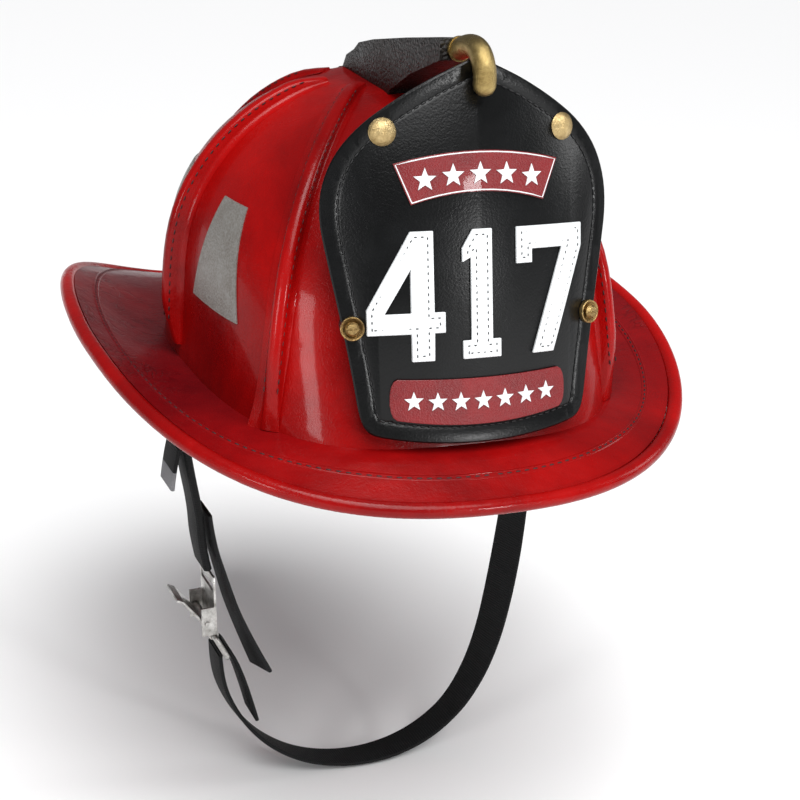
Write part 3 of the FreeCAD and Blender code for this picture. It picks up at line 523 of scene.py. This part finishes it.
def webbing_cloth(name, dark, light, rough):
    """Nylon webbing: ribs across it and fine warp lines along it, with dust in the weave."""
    cloth, tree, shader = principled(name)
    weave_place = add_node(tree, "ShaderNodeUVMap", uv_map="weave").outputs["UV"]
    ribs = add_node(tree, "ShaderNodeTexWave", {"Vector": weave_place}, {"Scale": 230.0}, bands_direction="Y")
    warp = add_node(tree, "ShaderNodeTexWave", {"Vector": weave_place}, {"Scale": 320.0}, bands_direction="X")
    weave = sums(tree, "MULTIPLY", ribs.outputs["Fac"], warp.outputs["Fac"])
    dust = noise(tree, object_place(tree), 95.0, 6.0, 0.7)
    shade = sums(tree, "MULTIPLY", sums(tree, "ADD", weave, 0.35), dust)
    tree.links.new(ramp(tree, shade, (0.08, dark), (0.7, light)), shader.inputs["Base Color"])
    add_bump(tree, shader, weave, 0.0005)
    shader.inputs["Roughness"].default_value = rough
    shader.inputs["Specular IOR Level"].default_value = 0.22
    return cloth


def ribbon(name, points, width, gauge, material, twist=None):
    """Flat webbing through the points, lying across Y unless twist, in radians, leans it over.

    Its UV map is in metres, U across the webbing and V along it."""
    lengths = [0.0]
    for here, there in zip(points, points[1:]):
        lengths.append(lengths[-1] + (there - here).length)
    places = []
    for index, point in enumerate(points):
        ahead = (points[min(index + 1, len(points) - 1)] - points[max(index - 1, 0)]).normalized()
        turn = twist(lengths[index] / lengths[-1]) if twist else 0.0
        outward = Matrix.Rotation(turn, 3, ahead) @ Vector((0, 1, 0)).cross(ahead)
        places.append(place_at(point, ahead, outward))
    corner = 0.35 * gauge
    half = width / 2
    thin = gauge / 2
    section = [(-half, corner - thin), (corner - half, -thin), (half - corner, -thin), (half, corner - thin),
               (half, thin - corner), (half - corner, thin), (corner - half, thin), (-half, thin - corner)]
    mesh = bmesh.new()
    draw_along(mesh, section, places, lengths)
    smooth(mesh, 50)
    across = mesh.verts.layers.float["across"]
    along = mesh.verts.layers.float["along"]
    weave = mesh.loops.layers.uv.new("weave")
    for face in mesh.faces:
        for loop in face.loops:
            loop[weave].uv = (loop.vert[across], loop.vert[along])
    return new_piece(name, mesh, material)


cap_black = moulded_plastic("cap_black", (0.012, 0.012, 0.013), 0.4, 1600.0)
band_black = moulded_plastic("band_black", (0.018, 0.018, 0.02), 0.45, 2200.0)
dress(cap_black, "impact_cap")
dress(foam_beads(), "foam_liner")
dress(band_black, "headband", "strap_hangers")

black_webbing = webbing_cloth("black_webbing", (0.0015, 0.0016, 0.0018), (0.0085, 0.009, 0.0095), 0.65)
band_half_width = 0.080
band_half_length = 0.098
head_middle = -0.013
for index, degrees in enumerate((0, 60, 120)):
    arch_name = f"crown_strap_{index + 1}"
    low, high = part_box(arch_name)
    heading = math.radians(degrees)
    reach = math.hypot(band_half_width * math.sin(heading), band_half_length * math.cos(heading)) - 0.0041
    rise = high.z - low.z - 0.0006
    sweep = (rise * rise + reach * reach) / (2 * rise)
    half_turn = math.atan2(reach, sweep - rise)
    arch = []
    for step in range(33):
        angle = half_turn * (1 - step / 16)
        flat = Vector((sweep * math.sin(angle), 0, low.z + rise - sweep + sweep * math.cos(angle)))
        arch.append(flat)
    strap = ribbon(f"crown_webbing_{index + 1}", arch, 0.019, 0.0012, black_webbing)
    turn = Matrix.Rotation(heading + math.pi / 2, 4, "Z")
    strap.data.transform(Matrix.Translation((0, head_middle, 0)) @ turn)
    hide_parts(arch_name)
    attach(strap, "helmet")


def quilted_cloth():
    """Brushed polyester over foam, with a knit weave and pilling."""
    cloth, tree, shader = principled("quilted_cloth")
    place = object_place(tree)
    knit = cells(tree, place, 1500.0)
    pills = noise(tree, place, 240.0, 4.0)
    tree.links.new(ramp(tree, pills, (0.3, (0.012, 0.012, 0.014)), (0.7, (0.045, 0.045, 0.05))),
                   shader.inputs["Base Color"])
    shader.inputs["Roughness"].default_value = 0.9
    shader.inputs["Sheen Weight"].default_value = 0.4
    add_bump(tree, shader, sums(tree, "ADD", knit, pills), 0.0004)
    return cloth


padding_cloth = quilted_cloth()
pad_low, pad_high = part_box("brow_pad")
pad_middle = (pad_low.z + pad_high.z) / 2
pad_half_width = band_half_width - 0.0018
pad_half_length = band_half_length - 0.0018
pad_start = math.acos(0.030 / pad_half_length)
channels = 9
points = []
inward = []
puff = []
for step in range(145):
    angle = pad_start * (step / 72 - 1)
    along = head_middle - pad_half_length * math.cos(angle)
    points.append(Vector((pad_half_width * math.sin(angle), along, pad_middle)))
    facing_in = Vector((-math.sin(angle) / pad_half_width, math.cos(angle) / pad_half_length, 0))
    inward.append(facing_in.normalized())
    puff.append(0.35 + 0.65 * abs(math.sin(math.pi * channels * step / 144)) ** 0.45)
pillow = [(-12.6, 0.1), (-12.9, 0.6), (-12.0, 1.7), (-9.5, 2.8), (-5, 3.4), (0, 3.6), (5, 3.4), (9.5, 2.8),
          (12.0, 1.7), (12.9, 0.6), (12.6, 0.1), (0, 0.1)]
places = []
for place, share in zip(runs_through(points, inward), puff):
    places.append(place @ Matrix.Diagonal((0.001 * (0.96 + 0.04 * share), 0.001 * share, 1, 1)))
quilt = bmesh.new()
draw_along(quilt, pillow, places)
smooth(quilt, 70)
brow_pad = new_piece("brow_pad_quilt", quilt, padding_cloth)
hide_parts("brow_pad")
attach(brow_pad, "helmet")

# ---------------------------------------------------------------- nape ratchet
# A moulded housing at the nape holds a pinion and a finger-grooved knob, which draw the band's two
# racked tails together. A small cushion keeps the housing off the neck.


def softened(name, node, width, material, segments=2, limit=35):
    """A CAD node's shape with its seams merged and its sharp edges rounded, in its place."""
    mesh = bmesh.new()
    mesh.from_mesh(nodes[node].data)
    bmesh.ops.remove_doubles(mesh, verts=mesh.verts, dist=2e-6)
    bmesh.ops.dissolve_limit(mesh, angle_limit=math.radians(0.6), verts=mesh.verts, edges=mesh.edges)
    steep = math.radians(limit)
    sharp = [edge for edge in mesh.edges if edge.is_manifold and edge.calc_face_angle(0) > steep]
    bmesh.ops.bevel(mesh, geom=sharp, offset=width, offset_type="OFFSET", segments=segments, profile=0.5,
                    affect="EDGES", clamp_overlap=True, material=-1)
    smooth(mesh, limit)
    piece = new_piece(name, mesh, material)
    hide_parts(node)
    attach(piece, nodes[node]["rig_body"])
    return piece


knob_black = moulded_plastic("knob_black", (0.014, 0.014, 0.015), 0.38, 1800.0)
softened("ratchet_case", "ratchet_housing", 0.0012, band_black)
softened("ratchet_grip", "ratchet_knob", 0.0008, knob_black)
for side in ("right", "left"):
    softened(f"band_tail_{side}", f"headband_tail_{side}", 0.0003, band_black)
dress(knob_black, "ratchet_pinion")

pad_low, pad_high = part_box("nape_pad")
pad_centre = (pad_low + pad_high) / 2
pad_size = pad_high - pad_low
cushion = bmesh.new()
bmesh.ops.create_cube(cushion, size=1)
bmesh.ops.scale(cushion, vec=pad_size, verts=cushion.verts)
bmesh.ops.subdivide_edges(cushion, edges=cushion.edges, cuts=11, use_grid_fill=True)
for vert in cushion.verts:
    u = 2 * vert.co.x / pad_size.x
    v = 2 * vert.co.z / pad_size.z
    swell = (1 - u ** 6) * (1 - v ** 6)
    seam = math.exp(-((abs(u) - 0.42) / 0.05) ** 2)
    vert.co.y *= 0.30 + 0.70 * swell - 0.35 * seam * swell
    vert.co.x *= 1 - 0.05 * (1 - v * v)
    vert.co.z *= 1 - 0.06 * (1 - u * u)
bmesh.ops.translate(cushion, vec=pad_centre, verts=cushion.verts)
smooth(cushion, 80)
nape_pad = new_piece("nape_cushion", cushion, padding_cloth)
nape_pad.modifiers.new("round", "SUBSURF").levels = 1
nape_pad.modifiers["round"].render_levels = 1
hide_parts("nape_pad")
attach(nape_pad, "helmet")

# ---------------------------------------------------------------- frontpiece leather
# A shield of black bridle leather, curved round the front. Its edge is pared and burnished, with a
# pressed border groove that holds a row of black stitches, and the face has hairline creases.

shield_foot = Vector((0, -0.1456, 0.0059))
shield_lean = math.radians(12.6)
shield_radius = 0.180
shield_gauge = 0.0032
shield_face = Matrix.Translation(shield_foot) @ Matrix.Rotation(math.pi / 2 - shield_lean, 4, "X")
shield_side = [(9, 163.2), (22, 157.5), (38, 148.6), (52, 139), (62.5, 127), (68, 113), (68.8, 99),
               (66.2, 84), (62.5, 64), (59, 45), (56, 26), (54.5, 15)]
shield_base = [(52, 8.2), (46, 5), (23, 1.3)]


def on_face(x, y, lift=0.0):
    """A point over the frontpiece's curved face: x across, y up along it, lift off the leather."""
    deep = math.sqrt(shield_radius ** 2 - x ** 2)
    out = Vector((x, 0, deep)) / shield_radius
    return shield_face @ (Vector((x, y, deep - shield_radius)) + out * lift)


def face_outward(x):
    out = Vector((x, 0, math.sqrt(shield_radius ** 2 - x ** 2))) / shield_radius
    return (shield_face.to_3x3() @ out).normalized()


def fine_line(corners, rounds=2):
    """Closed corners cut round and round again, so that the outline runs smoothly."""
    for _ in range(rounds):
        cut = []
        for here, there in zip(corners, corners[1:] + corners[:1]):
            cut.append((here[0] * 0.75 + there[0] * 0.25, here[1] * 0.75 + there[1] * 0.25))
            cut.append((here[0] * 0.25 + there[0] * 0.75, here[1] * 0.25 + there[1] * 0.75))
        corners = cut
    return corners


def flat_outline(mesh, corners):
    """One flat face through corners given in millimetres."""
    return mesh.faces.new([mesh.verts.new((x / 1000, y / 1000, 0)) for x, y in corners])


def inner_line(corners, inset):
    """The outline drawn in by inset, in metres, as a closed run of points on the flat."""
    mesh = bmesh.new()
    face = flat_outline(mesh, corners)
    face.normal_update()
    bmesh.ops.inset_region(mesh, faces=[face], thickness=inset, use_even_offset=True, use_boundary=True)
    line = [vert.co.copy() for vert in face.verts]
    mesh.free()
    return line + line[:1]


def bend_to_face(mesh, lift):
    """Slices a flat piece into upright strips and lays it over the curved face."""
    low = min(vert.co.x for vert in mesh.verts)
    high = max(vert.co.x for vert in mesh.verts)
    strips = max(1, int((high - low) / 0.004))
    for cut in range(1, strips):
        across = low + (high - low) * cut / strips
        geometry = mesh.verts[:] + mesh.edges[:] + mesh.faces[:]
        bmesh.ops.bisect_plane(mesh, geom=geometry, plane_co=(across, 0, 0), plane_no=(1, 0, 0), dist=1e-7)
    for vert in mesh.verts:
        vert.co = on_face(vert.co.x, vert.co.y, vert.co.z + lift)


def cut_leather(name, corners, gauge, lift, material, round_over=0.0005, border=None):
    """Leather cut to an outline, its top edge rounded over, laid on the frontpiece.

    border is (inset, width, depth) of a pressed groove."""
    mesh = bmesh.new()
    face = flat_outline(mesh, corners)
    face.normal_update()
    if face.normal.z < 0:
        face.normal_flip()
    grown = bmesh.ops.extrude_face_region(mesh, geom=[face])["geom"]
    top = [item for item in grown if isinstance(item, bmesh.types.BMFace)][0]
    bmesh.ops.translate(mesh, vec=(0, 0, gauge), verts=top.verts)
    rim = bmesh.ops.inset_region(mesh, faces=[top], thickness=round_over, depth=0, use_even_offset=True)
    for vert in {v for f in rim["faces"] for v in f.verts} - set(top.verts):
        vert.co.z -= round_over * 0.8
    if border:
        inset, width, depth = border
        bmesh.ops.inset_region(mesh, faces=[top], thickness=inset, depth=0, use_even_offset=True)
        bmesh.ops.inset_region(mesh, faces=[top], thickness=width / 2, depth=-depth, use_even_offset=True)
        bmesh.ops.inset_region(mesh, faces=[top], thickness=width / 2, depth=depth, use_even_offset=True)
    bmesh.ops.recalc_face_normals(mesh, faces=mesh.faces)
    bend_to_face(mesh, lift)
    smooth(mesh, 30)
    piece = new_piece(name, mesh, material)
    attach(piece, "helmet")
    return piece


def face_stitches(name, lines, pitch, length, thick, lift, material):
    """Rows of stitches along flat lines in metres, laid on the frontpiece at a lift."""
    mesh = bmesh.new()
    for line in lines:
        points = [on_face(p.x, p.y, lift) for p in line]
        sew(mesh, points, [face_outward(p.x) for p in line], pitch, length, thick)
    smooth(mesh, 180)
    piece = new_piece(name, mesh, material)
    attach(piece, "helmet")
    return piece


def black_leather():
    """Black bridle leather: pebbled grain, hairline creases and a waxy greyish bloom."""
    leather, tree, shader = principled("black_leather")
    place = object_place(tree)
    bloom = noise(tree, place, 16.0, 6.0, 0.68, 0.6)
    tree.links.new(ramp(tree, bloom, (0.35, (0.0012, 0.0014, 0.0015)), (0.75, (0.0034, 0.0038, 0.0042))),
                   shader.inputs["Base Color"])
    pebbles = cells(tree, place, 1100.0, "SMOOTH_F1")
    bent = add_node(tree, "ShaderNodeVectorMath", {0: place, 1: add_node(
        tree, "ShaderNodeTexNoise", {"Vector": place}, {"Scale": 30.0}).outputs["Color"]},
        {2: (0.02, 0.02, 0.02)}, operation="MULTIPLY_ADD")
    hairs = cells(tree, bent.outputs[0], 130.0, "DISTANCE_TO_EDGE")
    creases = ramp(tree, hairs, (0.0, grey(0.0)), (0.05, grey(1.0)))
    bloomed = sums(tree, "MULTIPLY", bloom, 1.2)
    height = sums(tree, "ADD", sums(tree, "ADD", sums(tree, "MULTIPLY", pebbles, 0.6), bloomed),
                  sums(tree, "MULTIPLY", creases, 0.12))
    add_bump(tree, shader, height, 0.00010)
    tree.links.new(ramp(tree, bloom, (0.3, grey(0.28)), (0.75, grey(0.38))), shader.inputs["Roughness"])
    shader.inputs["Specular IOR Level"].default_value = 0.26
    shader.inputs["Coat Weight"].default_value = 0.06
    shader.inputs["Coat Roughness"].default_value = 0.2
    return leather


shield_right = shield_side + shield_base
shield_line = [(0, 167.0)] + shield_right + [(0, 0.2)] + [(-x, y) for x, y in reversed(shield_right)]
shield_line = fine_line(shield_line, 2)
shield_black = black_leather()
shield = cut_leather("frontpiece_leather", shield_line, shield_gauge, -shield_gauge, shield_black, 0.0007,
                     (0.0052, 0.0026, 0.0007))
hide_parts("shield_leather")
wax_thread = thread("black_thread", (0.012, 0.012, 0.013))
border_line = inner_line(shield_line, 0.0072)
border_sewing = face_stitches("frontpiece_stitches", [border_line], 0.0036, 0.0026, 0.00042, -0.0003,
                              wax_thread)

# ---------------------------------------------------------------- frontpiece panels
# Two curved panels of red leather, glued on above and below the numerals, with plain stars cut from
# white leather on them. The upper one has a fine white edge.


def arch_line(low_corner, low_middle, high_corner, high_middle, steps=10):
    """A band with straight ends and arched long sides, as an outline in millimetres."""
    line = []
    for (x, y), middle, way in ((low_corner, low_middle, 1), (high_corner, high_middle, -1)):
        for step in range(steps + 1):
            share = way * (2 * step / steps - 1)
            line.append((x * share, middle + (y - middle) * share ** 2))
    return line


def panel_leather(name, deep, bright):
    leather, tree, shader = principled(name)
    place = object_place(tree)
    mottle = noise(tree, place, 45.0, 5.0, 0.65)
    tree.links.new(ramp(tree, mottle, (0.3, deep), (0.7, bright)), shader.inputs["Base Color"])
    tree.links.new(ramp(tree, mottle, (0.3, grey(0.38)), (0.7, grey(0.52))), shader.inputs["Roughness"])
    add_bump(tree, shader, cells(tree, place, 1200.0), 0.00016)
    shader.inputs["Coat Weight"].default_value = 0.15
    return leather


def star(x, y, size):
    """A five-pointed star, point up."""
    line = []
    for tip in range(10):
        angle = math.pi / 2 + tip * math.pi / 5
        reach = size if tip % 2 == 0 else size * 0.42
        line.append((x + reach * math.cos(angle), y + reach * math.sin(angle)))
    return line


panel_red = panel_leather("panel_red", (0.13, 0.0035, 0.0055), (0.22, 0.0055, 0.0080))
white_leather = panel_leather("white_leather", (0.68, 0.70, 0.71), (0.83, 0.85, 0.86))
upper_line = arch_line((31.1, 105.2), 110, (38.4, 122.8), 127.5)
lower_line = fine_line(arch_line((42, 13.3), 8.8, (41.5, 30.7), 29.2))
for name, node, line in (("upper", "upper_scroll", upper_line), ("lower", "lower_scroll", lower_line)):
    panel = cut_leather(f"{name}_panel", line, 0.0010, 0.0, panel_red, 0.0002)
    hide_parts(node)
trim = bmesh.new()
run = inner_line(upper_line, 0.0007)
points = [on_face(p.x, p.y, 0.0009) for p in run]
outward = [face_outward(p.x) for p in run]
places = [place @ Matrix.Diagonal((0.00026, 0.00026, 1, 1)) for place in runs_through(points, outward)]
draw_along(trim, [(-1, -1), (1, -1), (1, 0.6), (0, 1), (-1, 0.6)], places)
smooth(trim, 40)
panel_edge = new_piece("upper_panel_edge", trim, white_leather)
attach(panel_edge, "helmet")
# how many, how far apart, the middle one's height, how far the ends rise at a distance, and the size
star_rows = {"upper": (5, 12.5, 117.6, -3.6, 34, 5.2), "lower": (7, 10.5, 19.2, 2.6, 42, 4.4)}
for row_name, (count, pitch, middle, end_rise, end, size) in star_rows.items():
    for index in range(count):
        across = pitch * (index - (count - 1) / 2)
        line = star(across, middle + end_rise * (across / end) ** 2, size)
        badge = cut_leather(f"{row_name}_star_{index + 1}", line, 0.0005, 0.001, white_leather, 0.0001)

# ---------------------------------------------------------------- numerals
# Block numerals of thick white leather in two layers, glued on and sewn down close to their edges
# with dark thread.

numerals = {
    "numeral_four": [(-50.9, 50), (-32, 50), (-32, 38), (-22, 38), (-22, 50), (-17, 50), (-17, 59), (-22, 59),
                     (-22, 94), (-32, 94), (-50.9, 61)],
    "numeral_one": [(-9, 38), (9, 38), (9, 46), (5, 46), (5, 94), (-4, 94), (-9, 86), (-9, 80), (-5, 82),
                    (-5, 46), (-9, 46)],
    "numeral_seven": [(25, 38), (36, 38), (52, 84), (52, 94), (17, 94), (17, 78), (25, 78), (25, 84),
                      (41, 84)]}
numeral_gauge = 0.0016
dark_thread = thread("numeral_thread", (0.05, 0.05, 0.052))
sewing = []
for node, line in numerals.items():
    sewing.append(inner_line(line, 0.0024))
for node in numerals:
    numeral = softened(f"{node}_leather", node, 0.0004, white_leather, 2, 50)
numeral_sewing = face_stitches("numeral_stitches", sewing, 0.0030, 0.0015, 0.00034, numeral_gauge,
                               dark_thread)

# ---------------------------------------------------------------- frontpiece fasteners
# Two large domed rivets of brushed brass at the shoulders, and two slotted brass screws in cup
# washers at the sides, over round leather spacers that hold the shield off the crown.


def brass(name, deep, bright, rough):
    """Old brass: brown tarnish and bright rubbed patches at random, with fine brushing."""
    metal, tree, shader = principled(name)
    place = object_place(tree)
    tarnish = noise(tree, place, 130.0, 7.0, 0.72, 0.4)
    tree.links.new(ramp(tree, tarnish, (0.3, deep), (0.62, bright)), shader.inputs["Base Color"])
    dullness = ramp(tree, tarnish, (0.3, grey(rough + 0.2)), (0.65, grey(rough)))
    tree.links.new(dullness, shader.inputs["Roughness"])
    brushing = add_node(tree, "ShaderNodeTexWave", {"Vector": place},
                        {"Scale": 700.0, "Distortion": 6.0, "Detail": 3.0, "Detail Scale": 3.0})
    lines = sums(tree, "MULTIPLY", brushing.outputs["Fac"], 0.3)
    add_bump(tree, shader, sums(tree, "ADD", lines, tarnish), 0.0002)
    shader.inputs["Metallic"].default_value = 1.0
    return metal


rivet_brass = brass("rivet_brass", (0.30, 0.20, 0.075), (0.66, 0.50, 0.25), 0.3)
screw_brass = brass("screw_brass", (0.16, 0.10, 0.04), (0.52, 0.36, 0.15), 0.28)
dress(rivet_brass, "shield_rivets")


def add_turned(mesh, profile, seat, steps=28):
    """Spins a closed (radius, height) profile in millimetres round the seat's Z."""
    verts = [mesh.verts.new(seat @ Vector((radius / 1000, 0, height / 1000))) for radius, height in profile]
    edges = [mesh.edges.new(pair) for pair in zip(verts, verts[1:] + verts[:1])]
    axis = seat.to_3x3().col[2]
    bmesh.ops.spin(mesh, geom=verts + edges, cent=seat.translation, axis=axis, angle=2 * math.pi, steps=steps,
                   use_merge=True)
    bmesh.ops.remove_doubles(mesh, verts=mesh.verts, dist=1e-7)
    bmesh.ops.recalc_face_normals(mesh, faces=mesh.faces)


cups = bmesh.new()
for x in (-0.0565, 0.0565):
    upright_turn = face_outward(x).to_track_quat("Z", "Y").to_matrix().to_4x4()
    seat = Matrix.Translation(on_face(x, 0.0535)) @ upright_turn
    add_turned(cups, [(2.05, 0.4), (3.9, 1.2), (4.5, 2.1), (4.9, 2.3), (5.2, 2.0), (5.25, 1.2), (5.2, 0.15),
                      (2.05, 0.15)], seat)
smooth(cups, 35)
cup_washers = new_piece("cup_washers", cups, screw_brass)
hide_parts("shield_cup_washers")
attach(cup_washers, "helmet")
screw_heads = softened("screw_heads", "shield_screws", 0.0005, screw_brass, 3)

# ---------------------------------------------------------------- frontpiece holder
# A folded bracket covered in brown-black leather rides the crown's top and reaches out to the
# frontpiece. A thick brass rod comes out of its nose and bends down over the leather's tip.


def holder_leather():
    """Old dark leather: brown rubs on top of black, with a worn, cracked grain."""
    leather, tree, shader = principled("holder_leather")
    place = object_place(tree)
    rubs = noise(tree, place, 60.0, 7.0, 0.72, 0.5)
    tree.links.new(ramp(tree, rubs, (0.36, (0.004, 0.003, 0.0026)), (0.6, (0.009, 0.0065, 0.005)),
                        (0.85, (0.030, 0.021, 0.016))), shader.inputs["Base Color"])
    tree.links.new(ramp(tree, rubs, (0.3, grey(0.34)), (0.75, grey(0.62))), shader.inputs["Roughness"])
    cracks = cells(tree, place, 420.0, "DISTANCE_TO_EDGE")
    add_bump(tree, shader, sums(tree, "ADD", rubs, sums(tree, "MULTIPLY", cracks, 1.5)), 0.0005)
    return leather


brown_leather = holder_leather()
holder = softened("holder_cover", "front_holder", 0.0016, brown_leather, 3)
holder_screws = softened("holder_screw_heads", "holder_screws", 0.0004, screw_brass)
spacers = softened("frontpiece_spacers", "shield_spacers", 0.0004, brown_leather)
hook_brass = brass("hook_brass", (0.20, 0.135, 0.045), (0.50, 0.37, 0.15), 0.26)
dress(hook_brass, "holder_hook")

# ---------------------------------------------------------------- side rings and hanger
# Nickel-plated steel: a tab riveted inside each side of the crown carries a slotted plate that swings
# with the chin strap, and a D-ring hangs from a tab under the rear of the brim.


def worn_nickel():
    """Dull nickel plate with grey stains and fine scratches."""
    metal, tree, shader = principled("worn_nickel")
    place = object_place(tree)
    stains = noise(tree, place, 120.0, 7.0, 0.72, 0.4)
    tree.links.new(ramp(tree, stains, (0.32, (0.20, 0.19, 0.175)), (0.62, (0.62, 0.61, 0.59))),
                   shader.inputs["Base Color"])
    tree.links.new(ramp(tree, stains, (0.3, grey(0.48)), (0.7, grey(0.22))), shader.inputs["Roughness"])
    scratches = add_node(tree, "ShaderNodeTexWave", {"Vector": place},
                         {"Scale": 260.0, "Distortion": 18.0, "Detail": 4.0, "Detail Scale": 2.0})
    lines = sums(tree, "MULTIPLY", scratches.outputs["Fac"], 0.25)
    add_bump(tree, shader, sums(tree, "ADD", lines, stains), 0.00015)
    shader.inputs["Metallic"].default_value = 1.0
    return metal


nickel = worn_nickel()
for side in ("right", "left"):
    softened(f"steel_tab_{side}", f"side_tab_{side}", 0.0003, nickel)
    softened(f"ring_plate_{side}", f"side_ring_{side}", 0.0004, nickel)
softened("tab_rivet_heads", "tab_rivets", 0.0004, nickel)
softened("hanger_plate", "hanger_tab", 0.0003, nickel)
dress(nickel, "hanger_ring")

# ---------------------------------------------------------------- chin strap
# Flat black nylon webbing, 20 mm wide and 2 mm thick. The long run hangs from the left ring in a loop
# and turns over the buckle's wire loop; the short run passes the right ring and its end hangs loose.
# A second short end beside the right ring is dipped in grey plastic.

strap_width = 0.020
strap_gauge = 0.002
long_route = [(0.0938, -0.0435), (0.0958, -0.074), (0.0944, -0.101), (0.0927, -0.127), (0.090, -0.152),
              (0.086, -0.177), (0.079, -0.200), (0.067, -0.221), (0.048, -0.236), (0.025, -0.2435),
              (0.0, -0.2435), (-0.023, -0.237), (-0.042, -0.225), (-0.056, -0.210), (-0.066, -0.193),
              (-0.0715, -0.177), (-0.0726, -0.163)]
short_route = [(-0.0936, -0.0435), (-0.0905, -0.060), (-0.0855, -0.082), (-0.084, -0.099), (-0.0805, -0.1125)]
tail_route = [(-0.0805, -0.082), (-0.078, -0.098), (-0.0715, -0.118), (-0.0625, -0.146), (-0.047, -0.178)]
fold_route = [(-0.0726, -0.163), (-0.0695, -0.1595), (-0.0664, -0.163), (-0.062, -0.172), (-0.0565, -0.187),
              (-0.051, -0.205)]
tip_route = [(-0.0972, -0.044), (-0.0993, -0.054), (-0.1002, -0.066)]


def spline_points(route):
    """The points of the route's own NURBS line, in the XZ plane."""
    curve = bpy.data.curves.new("route", "CURVE")
    curve.dimensions = "3D"
    curve.resolution_u = 8
    line = curve.splines.new("NURBS")
    line.points.add(len(route) - 1)
    for point, (x, z) in zip(line.points, route):
        point.co = (x, 0, z, 1)
    line.order_u = 3
    line.use_endpoint_u = True
    holder = bpy.data.objects.new("route", curve)
    mesh = bpy.data.meshes.new_from_object(holder)
    points = [vert.co.copy() for vert in mesh.vertices]
    bpy.data.meshes.remove(mesh)
    bpy.data.objects.remove(holder)
    bpy.data.curves.remove(curve)
    return points


def long_twist(share):
    """The hanging run rolls a little one way, then the other, as it turns under the chin."""
    swing = math.sin(2 * math.pi * share)
    return -0.38 * swing if swing > 0 else -0.12 * swing


tail_webbing = webbing_cloth("tail_webbing", (0.005, 0.005, 0.0055), (0.026, 0.026, 0.028), 0.7)
tip_webbing = webbing_cloth("tip_webbing", (0.16, 0.16, 0.165), (0.40, 0.40, 0.42), 0.7)
tip_tree = tip_webbing.node_tree
tip_colour = tip_tree.nodes["Principled BSDF"].inputs["Base Color"]
height = add_node(tip_tree, "ShaderNodeSeparateXYZ", {"Vector": object_place(tip_tree)}).outputs["Z"]
dipped = sums(tip_tree, "LESS_THAN", height, -0.0565)
two_tone = blend_colours(tip_tree, dipped, (0.006, 0.006, 0.0065), tip_colour.links[0].from_socket)
tip_tree.links.new(two_tone, tip_colour)
long_points = spline_points(long_route)
long_run = ribbon("chin_strap_long_run", long_points, strap_width, strap_gauge, black_webbing, long_twist)
short_run = ribbon("chin_strap_short_run", spline_points(short_route), strap_width, 2 * strap_gauge,
                   black_webbing)
tail = ribbon("chin_strap_loose_tail", spline_points(tail_route), strap_width, strap_gauge, tail_webbing,
              lambda share: -0.3 * share ** 2)
fold = ribbon("chin_strap_fold", spline_points(fold_route), strap_width, strap_gauge, black_webbing)
tip = ribbon("chin_strap_end", spline_points(tip_route), strap_width, strap_gauge, tip_webbing)
for piece, node in ((long_run, "chin_strap_lower"), (short_run, "chin_strap_upper"),
                    (tail, "chin_strap_tail"), (fold, "chin_strap_foldback"), (tip, "strap_tip")):
    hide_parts(node)
    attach(piece, "chin_strap")

# ---------------------------------------------------------------- buckle
# A quick-release buckle of pressed steel: a folded frame with a slot for the webbing, a lever on a
# pin through its cheeks, and a loop of round wire that the long run is turned over.

softened("buckle_frame", "buckle_body", 0.0003, nickel)
softened("buckle_release", "buckle_lever", 0.0004, nickel)
dress(nickel, "buckle_pin", "buckle_loop")
